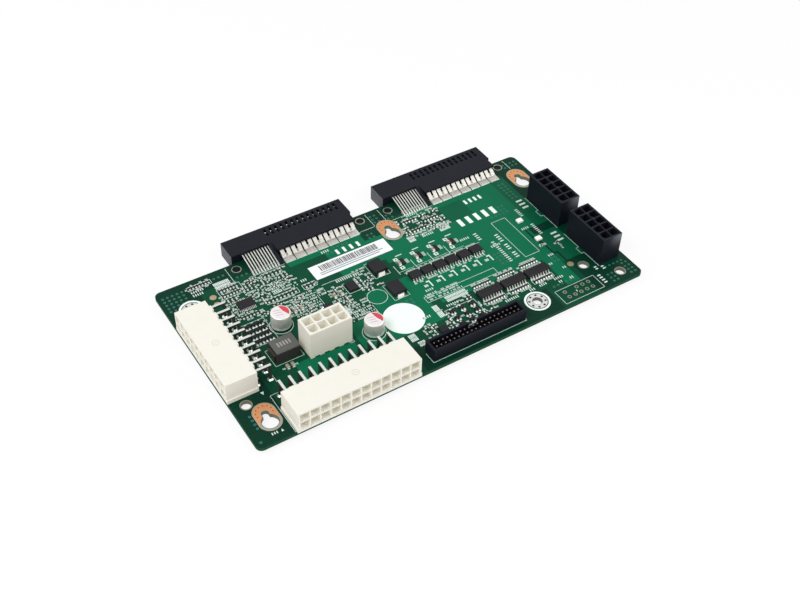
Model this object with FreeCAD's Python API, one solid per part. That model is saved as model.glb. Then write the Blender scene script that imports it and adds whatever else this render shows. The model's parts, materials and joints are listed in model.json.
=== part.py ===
import FreeCAD, Part
import math
import os
from FreeCAD import Vector

# Power supply backplane board for a server.
# Working axes while modelling, in millimetres: X runs along the front edge of the board,
# Y from the front edge to the rear edge, and Z up from the board's top face.
# The finished pieces are moved once, so that the frame's origin is under the middle of the whole part.

# Bare board
board_width = 176.5
board_depth = 90.6
board_thickness = 1.6
board_corner_radius = 2.5

# Keyholes that hang the board on headed studs: a wide round end and a narrow slot behind it
keyhole_round_radius = 3.25
keyhole_slot_radius = 1.35
keyhole_travel = 4.0
left_keyhole_x = 9.6
left_keyhole_y = 9.4
middle_keyhole_x = 101.1
right_keyhole_inset = 7.0
rear_keyhole_inset = 17.4

# Round holes in the board
screw_hole_radius = 2.0
front_screw_x = 128.7
front_screw_y = 8.9
rear_screw_x = 9.7
rear_screw_inset = 15.8
guide_hole_radius = 2.0
left_guide_x = 5.6
left_guide_y = 20.6
right_guide_inset = 18.6
right_guide_y = 16.1
corner_guide_inset = 7.9
corner_guide_y = 5.5
socket_hole_radius = 1.65
socket_hole_inset = 3.6

# Two-row power headers: one pitch, one body section and one cavity for the whole family
power_pitch = 4.2
power_end_margin = 1.2
power_body_thickness = 9.6
power_body_depth = 12.8
cavity_side = 3.55
cavity_depth = 10.2
cavity_key_corner = 0.9
power_pin_side = 1.05
power_pin_recess = 3.0
row_lift = 0.3

# Right-angle headers: how far behind the body the bent tails come down, and the foot of the end walls
tail_distance = 0.8
tail_row_step = 5.5
end_foot_height = 1.8
end_foot_width = 0.4

# Upright headers: locking ramp on the far wall
ramp_width = 3.4
ramp_height = 2.4
ramp_depth = 1.0
ramp_drop = 3.0

# Ways per row and places of the five power headers
main_header_ways = 12
main_header_x = 15.7
main_header_overhang = 0.6
side_header_ways = 10
side_header_y = 24.6
upright_header_ways = 4
upright_header_x = 36.7
upright_header_y = 28.1
black_header_ways = 5
black_header_inset = 3.0
front_black_header_y = 12.9
rear_black_header_y = 40.6

# Wave-soldered tails under the board
solder_base = 2.0
solder_height = 1.5

# Card-edge supply sockets hung on the rear edge
socket_x = 34.6
socket_spacing = 72.3
socket_overhang = 10.0
socket_edge_gap = 0.1
socket_top = 3.8
card_slot_height = 3.2
card_slot_depth = 8.0
card_slot_end_wall = 1.3
socket_key_width = 0.9
hood_reach = 5.4
hood_roof = 0.9
hood_lip = 1.0
hood_end_margin = 1.2
gusset_width = 1.5
gusset_reach = 10.4
gusset_toe = 0.6
left_peg_offset = 0.2
right_peg_offset = 2.6
peg_clearance = 0.15
peg_recess = 0.4
peg_sides = 8
socket_hole_sides = 12
ear_margin = 2.6
ear_root = 3.0

# Power contacts of a socket: wide foot, a slope notched into two legs and a blade in the card slot
power_contact_count = 7
power_contact_pitch = 5.08
power_contact_first = 21.7
socket_end_margin = 3.82
contact_thickness = 0.35
contact_foot_width = 4.4
contact_foot_length = 2.8
contact_foot_toe = 10.5
contact_leg_length = 2.0
contact_notch_width = 1.0
contact_leg_clearance = 0.2
contact_blade_length = 6.6
roof_slot_width = 1.15
roof_slot_length = 4.2
roof_slot_margin = 1.5

# Signal contacts of a socket: thin leads side by side
signal_contact_count = 10
signal_contact_pitch = 1.27
signal_contact_first = 4.95
signal_lead_width = 0.5
signal_lead_thickness = 0.25
signal_lead_top = 2.8
signal_foot_toe = 10.1

# Shrouded two-row signal header
box_header_x = 75.8
box_header_y = 3.3
box_header_columns = 20
box_header_pitch = 2.0
box_header_end_margin = 2.4
box_header_depth = 6.5
box_header_height = 5.2
box_header_wall = 0.9
box_header_floor = 1.2
box_header_notch = 4.2
box_header_notch_depth = 2.8
box_pin_side = 0.5
box_pin_top = 4.7

# Polymer capacitors
capacitor_radius = 4.0
capacitor_height = 7.2
capacitor_bevel = 0.5
capacitor_seal_radius = 3.7
capacitor_seal_height = 0.6
capacitor_seal_sides = 12
left_capacitor_x = 35.5
left_capacitor_y = 49.6
right_capacitor_x = 64.3
right_capacitor_y = 27.9

# Power inductor: ferrite block with a flat copper clip through it
inductor_x = 24.6
inductor_y = 32.2
inductor_length = 9.9
inductor_width = 7.8
inductor_height = 5.6
inductor_bevel = 0.4
clip_width = 5.0
clip_thickness = 0.5
clip_level = 2.8

# Surge diodes with folded end leads
diode_width = 5.9
diode_length = 6.9
diode_height = 2.3
diode_shoulder = 0.4
diode_lead_width = 3.0
diode_lead_thickness = 0.25
diode_lead_rise = 1.1
diode_x = 83.9
front_diode_y = 43.2
rear_diode_y = 57.8

# Chips with side leads: seat height and lead section are shared, each outline has its own sizes
chip_stand_off = 0.15
chip_lead_thickness = 0.2
chip_edge_bevel = 0.35
small_outline_height = 1.6
small_outline_width = 3.9
small_outline_span = 6.0
small_outline_pitch = 1.27
small_outline_lead = 0.42
small_outline_end = 0.55
thin_outline_height = 1.1
thin_outline_width = 4.4
thin_outline_pitch = 0.65
thin_outline_end = 0.33

# Places of the chips with leads and how many leads each has along one side
driver_count = 6
driver_lead_count = 4
driver_x = 94.7
driver_y = 46.2
driver_step = 5.97
logic_count = 3
logic_lead_count = 8
logic_end = 1.0
logic_x = 115.0
logic_y = 22.75
logic_step = 11.8
monitor_lead_count = 10
monitor_x = 28.9
monitor_y = 66.7
regulator_lead_count = 4
regulator_x = 56.0
regulator_y = 47.2

# Flat leadless controllers
controller_width = 4.0
controller_length = 5.0
controller_height = 0.9
controller_x = 69.6
controller_y = 54.0
switch_chip_side = 3.2
switch_chip_x = 87.8
switch_chip_y = 15.0

# Three-lead transistors in two blocks
transistor_width = 2.0
transistor_depth = 1.3
transistor_height = 0.95
left_transistor_x = 23.4
left_transistor_y = 46.0
left_transistor_columns = 3
left_transistor_rows = 4
left_transistor_step_x = 2.85
left_transistor_step_y = 3.0
middle_transistor_x = 96.1
middle_transistor_y = 13.9
middle_transistor_columns = 3
middle_transistor_rows = 3
middle_transistor_step_x = 4.6
middle_transistor_step_y = 3.7

# Chip resistors and chip capacitors: body sizes, then rows of them on the board
resistor_length = 1.6
resistor_width = 0.8
resistor_height = 0.45
ceramic_length = 2.0
ceramic_width = 1.25
ceramic_height = 1.0

# Rows of those chips on the board: x and y of the first chip, how many, and the step along X
left_resistor_rows = [(13.6, board_depth - 4.5, 7, 1.35), (37.2, 63.6, 8, 1.7), (54.0, 63.6, 3, 1.7),
                      (24.6, 60.6, 5, 1.5)]
supply_resistor_rows = [(23.6, 78.6, 6, 1.35), (23.6, 75.4, 6, 1.35),
                        (42.4, board_depth - 13.2, 5, 1.7)]
rear_resistor_rows = [(108.0, board_depth - 14.2, 5, 1.5), (117.0, board_depth - 17.4, 5, 1.5),
                      (109.4, board_depth - 20.8, 5, 1.6)]
bypass_rows = [(27.2, 29.0, 2, 2.2), (43.6, 53.6, 2, 3.1), (61.0, 52.6, 2, 3.1), (93.2, 55.6, 4, 8.2)]

# Indicator lamps, and the paper label with its share of the free room in front of it
lamp_side_x = 2.6
lamp_side_y = 2.2
lamp_height = 0.9
lamp_inset = 24.8
front_lamp_y = 38.5
rear_lamp_y = 51.8
label_x = 59.7
label_share = 0.29
label_length = 36.1
label_width = 8.1
label_thickness = 0.12

# Sizes that follow from the ones above
right_keyhole_x = board_width - right_keyhole_inset
rear_keyhole_y = board_depth - rear_keyhole_inset
rear_screw_y = board_depth - rear_screw_inset
socket_front = board_depth + socket_edge_gap
overall_front = -main_header_overhang
overall_rear = socket_front + socket_overhang
rest_depth = board_thickness + solder_height
socket_width = power_contact_first + (power_contact_count - 1) * power_contact_pitch + socket_end_margin
contact_leg_top = socket_top - hood_roof - contact_leg_clearance
label_lowest = rear_diode_y + diode_length / 2
label_room = socket_front - contact_foot_toe - label_lowest - label_width
label_y = label_lowest + label_share * label_room
frame_shift = Vector(-board_width / 2,
                     -(overall_front + overall_rear) / 2,
                     rest_depth)


def block(x, y, z, dx, dy, dz):
    return Part.makeBox(dx, dy, dz, Vector(x, y, z))


def centred_block(x, y, z, dx, dy, dz):
    return block(x - dx / 2, y - dy / 2, z, dx, dy, dz)


def upright_cylinder(x, y, z, radius, height):
    return Part.makeCylinder(radius, height, Vector(x, y, z))


def upright_prism(x, y, z, radius, height, sides):
    """A post with flat sides whose corners lie on a circle."""
    angles = [2 * math.pi * n / sides for n in range(sides)]
    corners = [Vector(x + radius * math.cos(angle), y + radius * math.sin(angle), z) for angle in angles]
    return filled(corners).extrude(Vector(0, 0, height))


def filled(points):
    return Part.Face(Part.makePolygon(points + points[:1]))


def side_profile(points, x, width):
    """A profile of (y, z) points, drawn out along X."""
    return filled([Vector(x, y, z) for y, z in points]).extrude(Vector(width, 0, 0))


def end_profile(points, y, depth):
    """A profile of (x, z) points, drawn out along Y."""
    return filled([Vector(x, y, z) for x, z in points]).extrude(Vector(0, depth, 0))


def moved(shape, x, y, z=0.0):
    result = shape.copy()
    result.translate(Vector(x, y, z))
    return result


def turned(shape, degrees):
    result = shape.copy()
    result.rotate(Vector(0, 0, 0), Vector(0, 0, 1), degrees)
    return result


def save(name, pieces):
    group = pieces[0].copy() if len(pieces) == 1 else Part.makeCompound(pieces)
    group.translate(frame_shift)
    group.exportStep("parts/" + name + ".step")


# The bare board with its keyholes and round holes

def keyhole_cut(x, y):
    depth = board_thickness
    wide = upright_cylinder(x, y, -depth, keyhole_round_radius, depth)
    narrow = upright_cylinder(x, y + keyhole_travel, -depth, keyhole_slot_radius, depth)
    neck = block(x - keyhole_slot_radius, y, -depth, 2 * keyhole_slot_radius, keyhole_travel, depth)
    return wide.fuse([narrow, neck]).removeSplitter()


def peg_centres():
    """Places along a socket, from the left end of its body, of the two pegs that fix it to the board."""
    return [left_peg_offset, socket_width + right_peg_offset]


def socket_hole_places():
    y = board_depth - socket_hole_inset
    return [(socket_x + shift + x, y) for shift in (0, socket_spacing) for x in peg_centres()]


def make_board():
    board = block(0, 0, -board_thickness, board_width, board_depth, board_thickness)
    corners = [edge for edge in board.Edges
               if abs(edge.Vertexes[0].X - edge.Vertexes[1].X) < 1e-6
               and abs(edge.Vertexes[0].Y - edge.Vertexes[1].Y) < 1e-6]
    board = board.makeFillet(board_corner_radius, corners)
    cuts = [keyhole_cut(left_keyhole_x, left_keyhole_y),
            keyhole_cut(middle_keyhole_x, rear_keyhole_y),
            keyhole_cut(right_keyhole_x, rear_keyhole_y)]
    round_holes = [(front_screw_x, front_screw_y, screw_hole_radius),
                   (rear_screw_x, rear_screw_y, screw_hole_radius),
                   (left_guide_x, left_guide_y, guide_hole_radius),
                   (board_width - right_guide_inset, right_guide_y, guide_hole_radius),
                   (board_width - corner_guide_inset, corner_guide_y, guide_hole_radius)]
    for x, y, radius in round_holes:
        cuts.append(upright_cylinder(x, y, -board_thickness, radius, board_thickness))
    for x, y in socket_hole_places():
        cuts.append(upright_prism(x, y, -board_thickness, socket_hole_radius, board_thickness,
                                  socket_hole_sides))
    return board.cut(cuts)


# Power headers

def header_length(ways):
    return ways * power_pitch + power_end_margin


def way_centre(way):
    return power_end_margin / 2 + power_pitch * (way + 0.5)


def row_levels():
    """Heights of the two rows in a body that lies on its side."""
    middle = power_body_thickness / 2 + row_lift
    return [middle - power_pitch / 2, middle + power_pitch / 2]


def is_keyed(way, row):
    """Keyed cavities alternate in pairs along a row, and the other row is the other way round."""
    return (way + 2 * row) % 4 in (0, 3)


def cavity_outline(across, up, keyed):
    """Corners of one cavity as (across, up) pairs. A keyed one loses its two lower corners."""
    half = cavity_side / 2
    low, high = up - half, up + half
    left, right = across - half, across + half
    if not keyed:
        return [(left, low), (right, low), (right, high), (left, high)]
    cut = cavity_key_corner
    return [(left + cut, low), (right - cut, low), (right, low + cut),
            (right, high), (left, high), (left, low + cut)]


def tail_rows():
    """Places behind the mouth of the tails of the lower and the upper row."""
    lower = power_body_depth + tail_distance
    return [lower, lower + tail_row_step]


def angled_header(ways):
    """Housing and pins of a header that lies on the board, with its mouth at y = 0."""
    length = header_length(ways)
    housing = block(0, 0, 0, length, power_body_depth, power_body_thickness)
    feet = [block(-end_foot_width, 0, 0, end_foot_width, power_body_depth, end_foot_height),
            block(length, 0, 0, end_foot_width, power_body_depth, end_foot_height)]
    housing = housing.fuse(feet).removeSplitter()
    cavities = []
    pins = []
    half = power_pin_side / 2
    for row, level in enumerate(row_levels()):
        tail = tail_rows()[row]
        low, high = level - half, level + half
        bend = [(power_body_depth, low), (tail - half, low), (tail - half, 0), (tail + half, 0),
                (tail + half, high), (power_body_depth, high)]
        for way in range(ways):
            x = way_centre(way)
            cavities.append(end_profile(cavity_outline(x, level, is_keyed(way, row)), 0, cavity_depth))
            pins.append(block(x - half, power_pin_recess, low,
                              power_pin_side, cavity_depth - power_pin_recess, power_pin_side))
            pins.append(side_profile(bend, x - half, power_pin_side))
    return housing.cut(cavities), pins


def angled_tail_places(ways):
    return [(way_centre(way), y) for y in tail_rows() for way in range(ways)]


def upright_header(ways):
    """Housing and pins of a header that stands on the board, long side along X, mouth up."""
    length = header_length(ways)
    width = power_body_thickness
    height = power_body_depth
    floor = height - cavity_depth
    housing = block(0, 0, 0, length, width, height)
    ramp_top = height - ramp_drop
    ramp_base = ramp_top - ramp_height
    ramp = side_profile([(width, ramp_top), (width + ramp_depth, ramp_base), (width, ramp_base)],
                        (length - ramp_width) / 2, ramp_width)
    housing = housing.fuse(ramp)
    cuts = []
    pins = []
    for row, y in enumerate(upright_rows()):
        for way in range(ways):
            x = way_centre(way)
            outline = [Vector(a, b, floor) for a, b in cavity_outline(x, y, is_keyed(way, row))]
            cuts.append(filled(outline).extrude(Vector(0, 0, cavity_depth)))
            pins.append(centred_block(x, y, floor, power_pin_side, power_pin_side,
                                      cavity_depth - power_pin_recess))
    return housing.cut(cuts), pins


def upright_rows():
    middle = power_body_thickness / 2
    return [middle - power_pitch / 2, middle + power_pitch / 2]


def upright_tail_places(ways):
    return [(way_centre(way), y) for y in upright_rows() for way in range(ways)]


def solder_joint(x, y):
    """One soldered tail under the board, a little pyramid with its point down."""
    half = solder_base / 2
    corners = [Vector(x + a * half, y + b * half, -board_thickness)
               for a, b in ((-1, -1), (1, -1), (1, 1), (-1, 1))]
    point = Vector(x, y, -rest_depth)
    faces = [filled(corners)]
    faces += [filled([corners[n - 1], corners[n], point]) for n in range(len(corners))]
    return Part.Solid(Part.Shell(faces))


def place_header(name, housing, pins, tails, degrees, x, y):
    """Turn a header about the vertical, move it to its place and save its three nodes."""
    joints = [turned(solder_joint(a, b), degrees) for a, b in tails]
    save(name + "_housing", [moved(turned(housing, degrees), x, y)])
    save(name + "_pins", [moved(turned(pin, degrees), x, y) for pin in pins])
    save(name + "_solder", [moved(joint, x, y) for joint in joints])


def make_power_headers():
    housing, pins = angled_header(main_header_ways)
    place_header("main_power_header", housing, pins, angled_tail_places(main_header_ways),
                 0, main_header_x, -main_header_overhang)
    housing, pins = angled_header(side_header_ways)
    place_header("side_power_header", housing, pins, angled_tail_places(side_header_ways),
                 -90, 0, side_header_y + header_length(side_header_ways))
    housing, pins = upright_header(upright_header_ways)
    place_header("upright_power_header", housing, pins, upright_tail_places(upright_header_ways),
                 0, upright_header_x, upright_header_y)
    housing, pins = upright_header(black_header_ways)
    tails = upright_tail_places(black_header_ways)
    for name, y in (("front_black_header", front_black_header_y), ("rear_black_header", rear_black_header_y)):
        x = board_width - black_header_inset - power_body_thickness
        place_header(name, housing, pins, tails, -90, x, y + header_length(black_header_ways))


# Card-edge supply sockets, drawn with the left end of the body at x = 0 and its front wall at y = 0

def hood_left():
    return power_contact_first - contact_foot_width / 2 - hood_end_margin


def hood_right():
    last = power_contact_first + (power_contact_count - 1) * power_contact_pitch
    return last + contact_foot_width / 2 + hood_end_margin / 2


def roof_slot_centres():
    """Places along the socket of the roof slots: over the middle of each power contact and left of it."""
    middles = [power_contact_first + n * power_contact_pitch for n in range(power_contact_count)]
    return [middle + shift for middle in middles for shift in (-power_contact_pitch / 2, 0)]


def signal_centres():
    return [signal_contact_first + lead * signal_contact_pitch for lead in range(signal_contact_count)]


def card_slot_level():
    return (socket_top - rest_depth - card_slot_height) / 2


def socket_ears():
    """Two flat ears that reach forward under the board, each with a peg up into its hole."""
    pieces = []
    reach = socket_hole_inset + socket_edge_gap
    thickness = rest_depth - board_thickness
    for centre, inward in zip(peg_centres(), (1, -1)):
        outer = centre - inward * ear_margin
        inner = centre + inward * (ear_margin + ear_root)
        pieces.append(block(min(outer, inner), -reach - ear_margin, -rest_depth,
                            abs(inner - outer), reach + ear_margin, thickness))
        root = max(0, min(outer, inner)), min(socket_width, max(outer, inner))
        pieces.append(block(root[0], 0, -rest_depth, root[1] - root[0], ear_root, thickness))
        pieces.append(upright_prism(centre, -reach, -board_thickness, socket_hole_radius - peg_clearance,
                                    board_thickness - peg_recess, peg_sides))
    return pieces


def make_socket_housing():
    body = block(0, 0, -rest_depth, socket_width, socket_overhang, rest_depth + socket_top)
    left, right = hood_left(), hood_right()
    hood_edge = -hood_reach
    hood = side_profile([(0, 0), (hood_edge + hood_lip, 0), (hood_edge + hood_lip, socket_top - hood_roof),
                         (hood_edge, socket_top - hood_roof), (hood_edge, socket_top), (0, socket_top)],
                        left, right - left)
    gusset = side_profile([(0, 0), (-gusset_reach, 0), (-gusset_reach, gusset_toe), (0, socket_top)],
                          left - gusset_width, gusset_width)
    body = body.fuse([hood, gusset] + socket_ears()).removeSplitter()
    level = card_slot_level()
    slot_start = socket_overhang - card_slot_depth
    key = (signal_centres()[-1] + left) / 2
    first_end = key - socket_key_width / 2
    second_start = key + socket_key_width / 2
    second_end = socket_width - card_slot_end_wall
    cuts = [block(start, slot_start, level, end - start, card_slot_depth, card_slot_height)
            for start, end in ((card_slot_end_wall, first_end), (second_start, second_end))]
    roof_start = socket_overhang - roof_slot_margin - roof_slot_length
    for x in roof_slot_centres():
        cuts.append(block(x - roof_slot_width / 2, roof_start, level + card_slot_height,
                          roof_slot_width, roof_slot_length, socket_top - level - card_slot_height))
    return body.cut(cuts)


def make_power_contact(middle):
    """One bent strip: a foot on the board and a slope up to the hood's wall, notched into two legs."""
    t = contact_thickness
    toe = -contact_foot_toe
    heel = toe + contact_foot_length
    wall = hood_lip - hood_reach
    path = [(toe, 0), (heel, 0), (wall, contact_leg_top - t), (wall, contact_leg_top), (heel, t), (toe, t)]
    strip = side_profile(path, middle - contact_foot_width / 2, contact_foot_width)
    notch = block(middle - contact_notch_width / 2, wall - contact_leg_length, 0,
                  contact_notch_width, contact_leg_length, contact_leg_top)
    return strip.cut(notch)


def make_power_contacts():
    middles = [power_contact_first + n * power_contact_pitch for n in range(power_contact_count)]
    pieces = [make_power_contact(middle) for middle in middles]
    slot_start = socket_overhang - card_slot_depth
    level = card_slot_level()
    for x in middles:
        pieces.append(block(x - contact_foot_width / 2, slot_start, level,
                            contact_foot_width, contact_blade_length, contact_thickness))
    return pieces


def make_signal_contacts():
    """Straight strips that slope from the socket's front wall down to the board."""
    t = signal_lead_thickness
    path = [(0, signal_lead_top), (-signal_foot_toe, t), (-signal_foot_toe, 0), (0, signal_lead_top - t)]
    return [side_profile(path, x - signal_lead_width / 2, signal_lead_width) for x in signal_centres()]


def make_sockets():
    housing = make_socket_housing()
    power = make_power_contacts()
    signal = make_signal_contacts()
    for name, shift in (("left", 0), ("right", socket_spacing)):
        x = socket_x + shift
        save(name + "_socket_housing", [moved(housing, x, socket_front)])
        save(name + "_socket_power_contacts", [moved(piece, x, socket_front) for piece in power])
        save(name + "_socket_signal_contacts", [moved(piece, x, socket_front) for piece in signal])


# Shrouded signal header

def make_box_header():
    span = (box_header_columns - 1) * box_header_pitch
    length = span + 2 * box_header_end_margin
    wall = box_header_wall
    shroud = block(0, 0, 0, length, box_header_depth, box_header_height)
    inside = block(wall, wall, box_header_floor, length - 2 * wall, box_header_depth - 2 * wall,
                   box_header_height - box_header_floor)
    notch = block((length - box_header_notch) / 2, box_header_depth - wall,
                  box_header_height - box_header_notch_depth, box_header_notch, wall, box_header_notch_depth)
    pins = []
    for row in (-0.5, 0.5):
        y = box_header_depth / 2 + row * box_header_pitch
        for column in range(box_header_columns):
            x = box_header_end_margin + column * box_header_pitch
            pins.append(centred_block(x, y, box_header_floor, box_pin_side, box_pin_side,
                                      box_pin_top - box_header_floor))
    save("box_header_shroud", [moved(shroud.cut([inside, notch]), box_header_x, box_header_y)])
    save("box_header_pins", [moved(pin, box_header_x, box_header_y) for pin in pins])


# Capacitors, inductor and diodes

def make_capacitor(name, x, y):
    low = capacitor_seal_height
    r = capacitor_radius
    outline = [(0, low), (r, low), (r, capacitor_height - capacitor_bevel),
               (r - capacitor_bevel, capacitor_height), (0, capacitor_height)]
    face = filled([Vector(radius, 0, z) for radius, z in outline])
    can = face.revolve(Vector(0, 0, 0), Vector(0, 0, 1), 360)
    seal = upright_prism(0, 0, 0, capacitor_seal_radius, capacitor_seal_height, capacitor_seal_sides)
    save(name + "_can", [moved(can, x, y)])
    save(name + "_seal", [moved(seal, x, y)])


def make_inductor():
    length, width, height = inductor_length, inductor_width, inductor_height
    bevel = inductor_bevel
    core = side_profile([(0, 0), (width, 0), (width, height - bevel), (width - bevel, height),
                         (bevel, height), (0, height - bevel)], 0, length)
    t = clip_thickness
    tunnel = block(0, (width - clip_width) / 2, clip_level, length, clip_width, t)
    strap = end_profile([(-t, 0), (0, 0), (0, clip_level), (length, clip_level), (length, 0),
                         (length + t, 0), (length + t, clip_level + t), (-t, clip_level + t)],
                        (width - clip_width) / 2, clip_width)
    save("inductor_core", [moved(core.cut(tunnel), inductor_x, inductor_y)])
    save("inductor_clip", [moved(strap, inductor_x, inductor_y)])


def make_surge_diodes():
    half_width = diode_width / 2
    half_length = diode_length / 2
    t = diode_lead_thickness
    flat = half_width - diode_shoulder
    shoulder = diode_height - diode_shoulder
    body = end_profile([(-half_width, t), (half_width, t), (half_width, shoulder), (flat, diode_height),
                        (-flat, diode_height), (-half_width, shoulder)], -half_length, diode_length)
    foot = diode_length / 4
    folded = [(-half_length - t, 0), (foot - half_length, 0), (foot - half_length, t), (-half_length, t),
              (-half_length, diode_lead_rise), (-half_length - t, diode_lead_rise)]
    front_lead = side_profile(folded, -diode_lead_width / 2, diode_lead_width)
    rear_lead = turned(front_lead, 180)
    leads = []
    for name, y in (("front", front_diode_y), ("rear", rear_diode_y)):
        save(name + "_surge_diode", [moved(body, diode_x, y)])
        leads += [moved(front_lead, diode_x, y), moved(rear_lead, diode_x, y)]
    save("surge_diode_leads", leads)


# Chips

def chip_body(length, width, height):
    """A moulded body along X, centred on the origin, with one top edge cut off beside the first lead."""
    half = width / 2
    return side_profile([(-half, chip_stand_off), (half, chip_stand_off), (half, height),
                         (chip_edge_bevel - half, height), (-half, height - chip_edge_bevel)],
                        -length / 2, length)


def small_outline(lead_count, end):
    """Body and leads of a small-outline chip, with its leads towards -Y and +Y."""
    span = (lead_count - 1) * small_outline_pitch
    half = small_outline_width / 2
    level = (chip_stand_off + small_outline_height) / 2
    t = chip_lead_thickness
    toe = small_outline_span / 2
    path = [(-half, level), (-toe, t), (-toe, 0), (-half, level - t)]
    leads = []
    for n in range(lead_count):
        x = n * small_outline_pitch - span / 2 - small_outline_lead / 2
        lead = side_profile(path, x, small_outline_lead)
        leads += [lead, turned(lead, 180)]
    return chip_body(span + 2 * end, small_outline_width, small_outline_height), leads


def thin_outline(lead_count):
    """Body of a fine-pitch chip."""
    length = (lead_count - 1) * thin_outline_pitch + 2 * thin_outline_end
    return chip_body(length, thin_outline_width, thin_outline_height)


def save_chips(name, body, leads, places):
    save(name + "_bodies", [moved(body, x, y) for x, y in places])
    save(name + "_leads", [moved(lead, x, y) for x, y in places for lead in leads])


def make_chips():
    body, leads = small_outline(driver_lead_count, small_outline_end)
    save_chips("driver_chip", body, leads,
               [(driver_x + n * driver_step, driver_y) for n in range(driver_count)])
    body, leads = small_outline(logic_lead_count, logic_end)
    save_chips("logic_chip", body, leads, [(logic_x + n * logic_step, logic_y) for n in range(logic_count)])
    save("monitor_chip", [moved(thin_outline(monitor_lead_count), monitor_x, monitor_y)])
    body, leads = small_outline(regulator_lead_count, small_outline_end)
    save_chips("regulator_chip", turned(body, 90), [turned(lead, 90) for lead in leads],
               [(regulator_x, regulator_y)])
    save("controller_chip", [centred_block(controller_x, controller_y, 0,
                                           controller_width, controller_length, controller_height)])
    save("switch_chip", [centred_block(switch_chip_x, switch_chip_y, 0,
                                       switch_chip_side, switch_chip_side, controller_height)])


def grid(x, y, columns, rows, step_x, step_y):
    return [(x + column * step_x, y + row * step_y) for row in range(rows) for column in range(columns)]


def make_transistors():
    left = grid(left_transistor_x, left_transistor_y, left_transistor_columns, left_transistor_rows,
                left_transistor_step_x, left_transistor_step_y)
    middle = grid(middle_transistor_x, middle_transistor_y, middle_transistor_columns, middle_transistor_rows,
                  middle_transistor_step_x, middle_transistor_step_y)
    body = centred_block(0, 0, 0, transistor_width, transistor_depth, transistor_height)
    for name, places in (("left", left), ("middle", middle)):
        save(name + "_transistors", [moved(body, x, y) for x, y in places])


# Chip resistors and chip capacitors

def chip_row(x, y, count, step, length, width, height):
    """A row of chips along X, each with its length along Y."""
    return [centred_block(x + n * step, y, 0, width, length, height) for n in range(count)]


def resistors(rows):
    return [chip for row in rows for chip in chip_row(*row, resistor_length, resistor_width, resistor_height)]


def ceramics(rows):
    return [chip for row in rows for chip in chip_row(*row, ceramic_length, ceramic_width, ceramic_height)]


def make_small_chips():
    save("left_resistors", resistors(left_resistor_rows))
    save("supply_resistors", resistors(supply_resistor_rows))
    save("rear_resistors", resistors(rear_resistor_rows))
    save("bypass_capacitors", ceramics(bypass_rows))


def make_lamps_and_label():
    x = board_width - lamp_inset
    save("indicator_lamps", [centred_block(x, y, 0, lamp_side_x, lamp_side_y, lamp_height)
                             for y in (front_lamp_y, rear_lamp_y)])
    save("paper_label", [block(label_x, label_y, 0, label_length, label_width, label_thickness)])


os.makedirs("parts", exist_ok=True)
save("circuit_board", [make_board()])
make_power_headers()
make_sockets()
make_box_header()
make_capacitor("left_capacitor", left_capacitor_x, left_capacitor_y)
make_capacitor("right_capacitor", right_capacitor_x, right_capacitor_y)
make_inductor()
make_surge_diodes()
make_chips()
make_transistors()
make_small_chips()
make_lamps_and_label()
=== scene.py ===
# %% [markdown]
# # A power supply backplane board
# The solids of the board, its headers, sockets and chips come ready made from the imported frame.
# This lesson dresses them: finishes first, then the printed marks, pads, solder and small trim,
# and at the end the light and the camera. Loading the frame comes before anything else, because
# every place below is measured from it.

# %% Load the frame
import json
import math
import random

import bpy
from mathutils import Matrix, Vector


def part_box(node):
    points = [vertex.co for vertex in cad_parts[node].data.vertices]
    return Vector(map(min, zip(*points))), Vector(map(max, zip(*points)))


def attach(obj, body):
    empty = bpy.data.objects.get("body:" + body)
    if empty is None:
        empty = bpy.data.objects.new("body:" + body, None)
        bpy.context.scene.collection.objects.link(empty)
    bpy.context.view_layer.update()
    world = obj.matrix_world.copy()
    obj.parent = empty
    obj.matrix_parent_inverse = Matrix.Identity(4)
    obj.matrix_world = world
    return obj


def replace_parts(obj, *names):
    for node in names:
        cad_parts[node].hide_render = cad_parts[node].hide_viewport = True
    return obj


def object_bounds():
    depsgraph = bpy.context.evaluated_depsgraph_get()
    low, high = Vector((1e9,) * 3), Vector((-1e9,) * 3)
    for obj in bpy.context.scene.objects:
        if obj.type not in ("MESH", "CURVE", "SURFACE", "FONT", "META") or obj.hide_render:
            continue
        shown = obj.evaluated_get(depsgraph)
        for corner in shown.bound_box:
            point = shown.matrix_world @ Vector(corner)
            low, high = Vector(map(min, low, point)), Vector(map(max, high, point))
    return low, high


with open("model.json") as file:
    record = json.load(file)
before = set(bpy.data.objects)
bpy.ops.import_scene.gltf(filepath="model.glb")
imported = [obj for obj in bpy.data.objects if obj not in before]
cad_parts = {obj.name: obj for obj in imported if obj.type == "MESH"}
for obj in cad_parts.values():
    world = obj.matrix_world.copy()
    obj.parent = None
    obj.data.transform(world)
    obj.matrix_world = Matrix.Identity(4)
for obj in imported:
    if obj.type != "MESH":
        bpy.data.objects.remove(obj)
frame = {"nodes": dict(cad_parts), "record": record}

cad_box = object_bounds()
nodes = frame["nodes"]
print("CAD nodes:", len(nodes))

# %% [markdown]
# Board makers give every place from one corner of the board, in millimetres. The same habit keeps
# this script readable: `spot` turns such a place into the frame's metres, with z counted up from
# the green face.

# %% Places on the board
MM = 0.001
board_low, board_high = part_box("circuit_board")
BOARD_DEPTH = (board_high.y - board_low.y) / MM
BOARD_THICKNESS = (board_high.z - board_low.z) / MM


def spot(x, y, z=0):
    """A place in millimetres from the front left corner of the green face, as metres in the frame."""
    return Vector((board_low.x + x * MM, board_low.y + y * MM, board_high.z + z * MM))


def board_place(point):
    """The other way round: metres in the frame to millimetres from the board's corner."""
    return Vector(((point.x - board_low.x) / MM, (point.y - board_low.y) / MM, (point.z - board_high.z) / MM))


def board_box(name):
    """Lowest and highest corner of a CAD node in board millimetres."""
    return [board_place(corner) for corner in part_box(name)]


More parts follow.
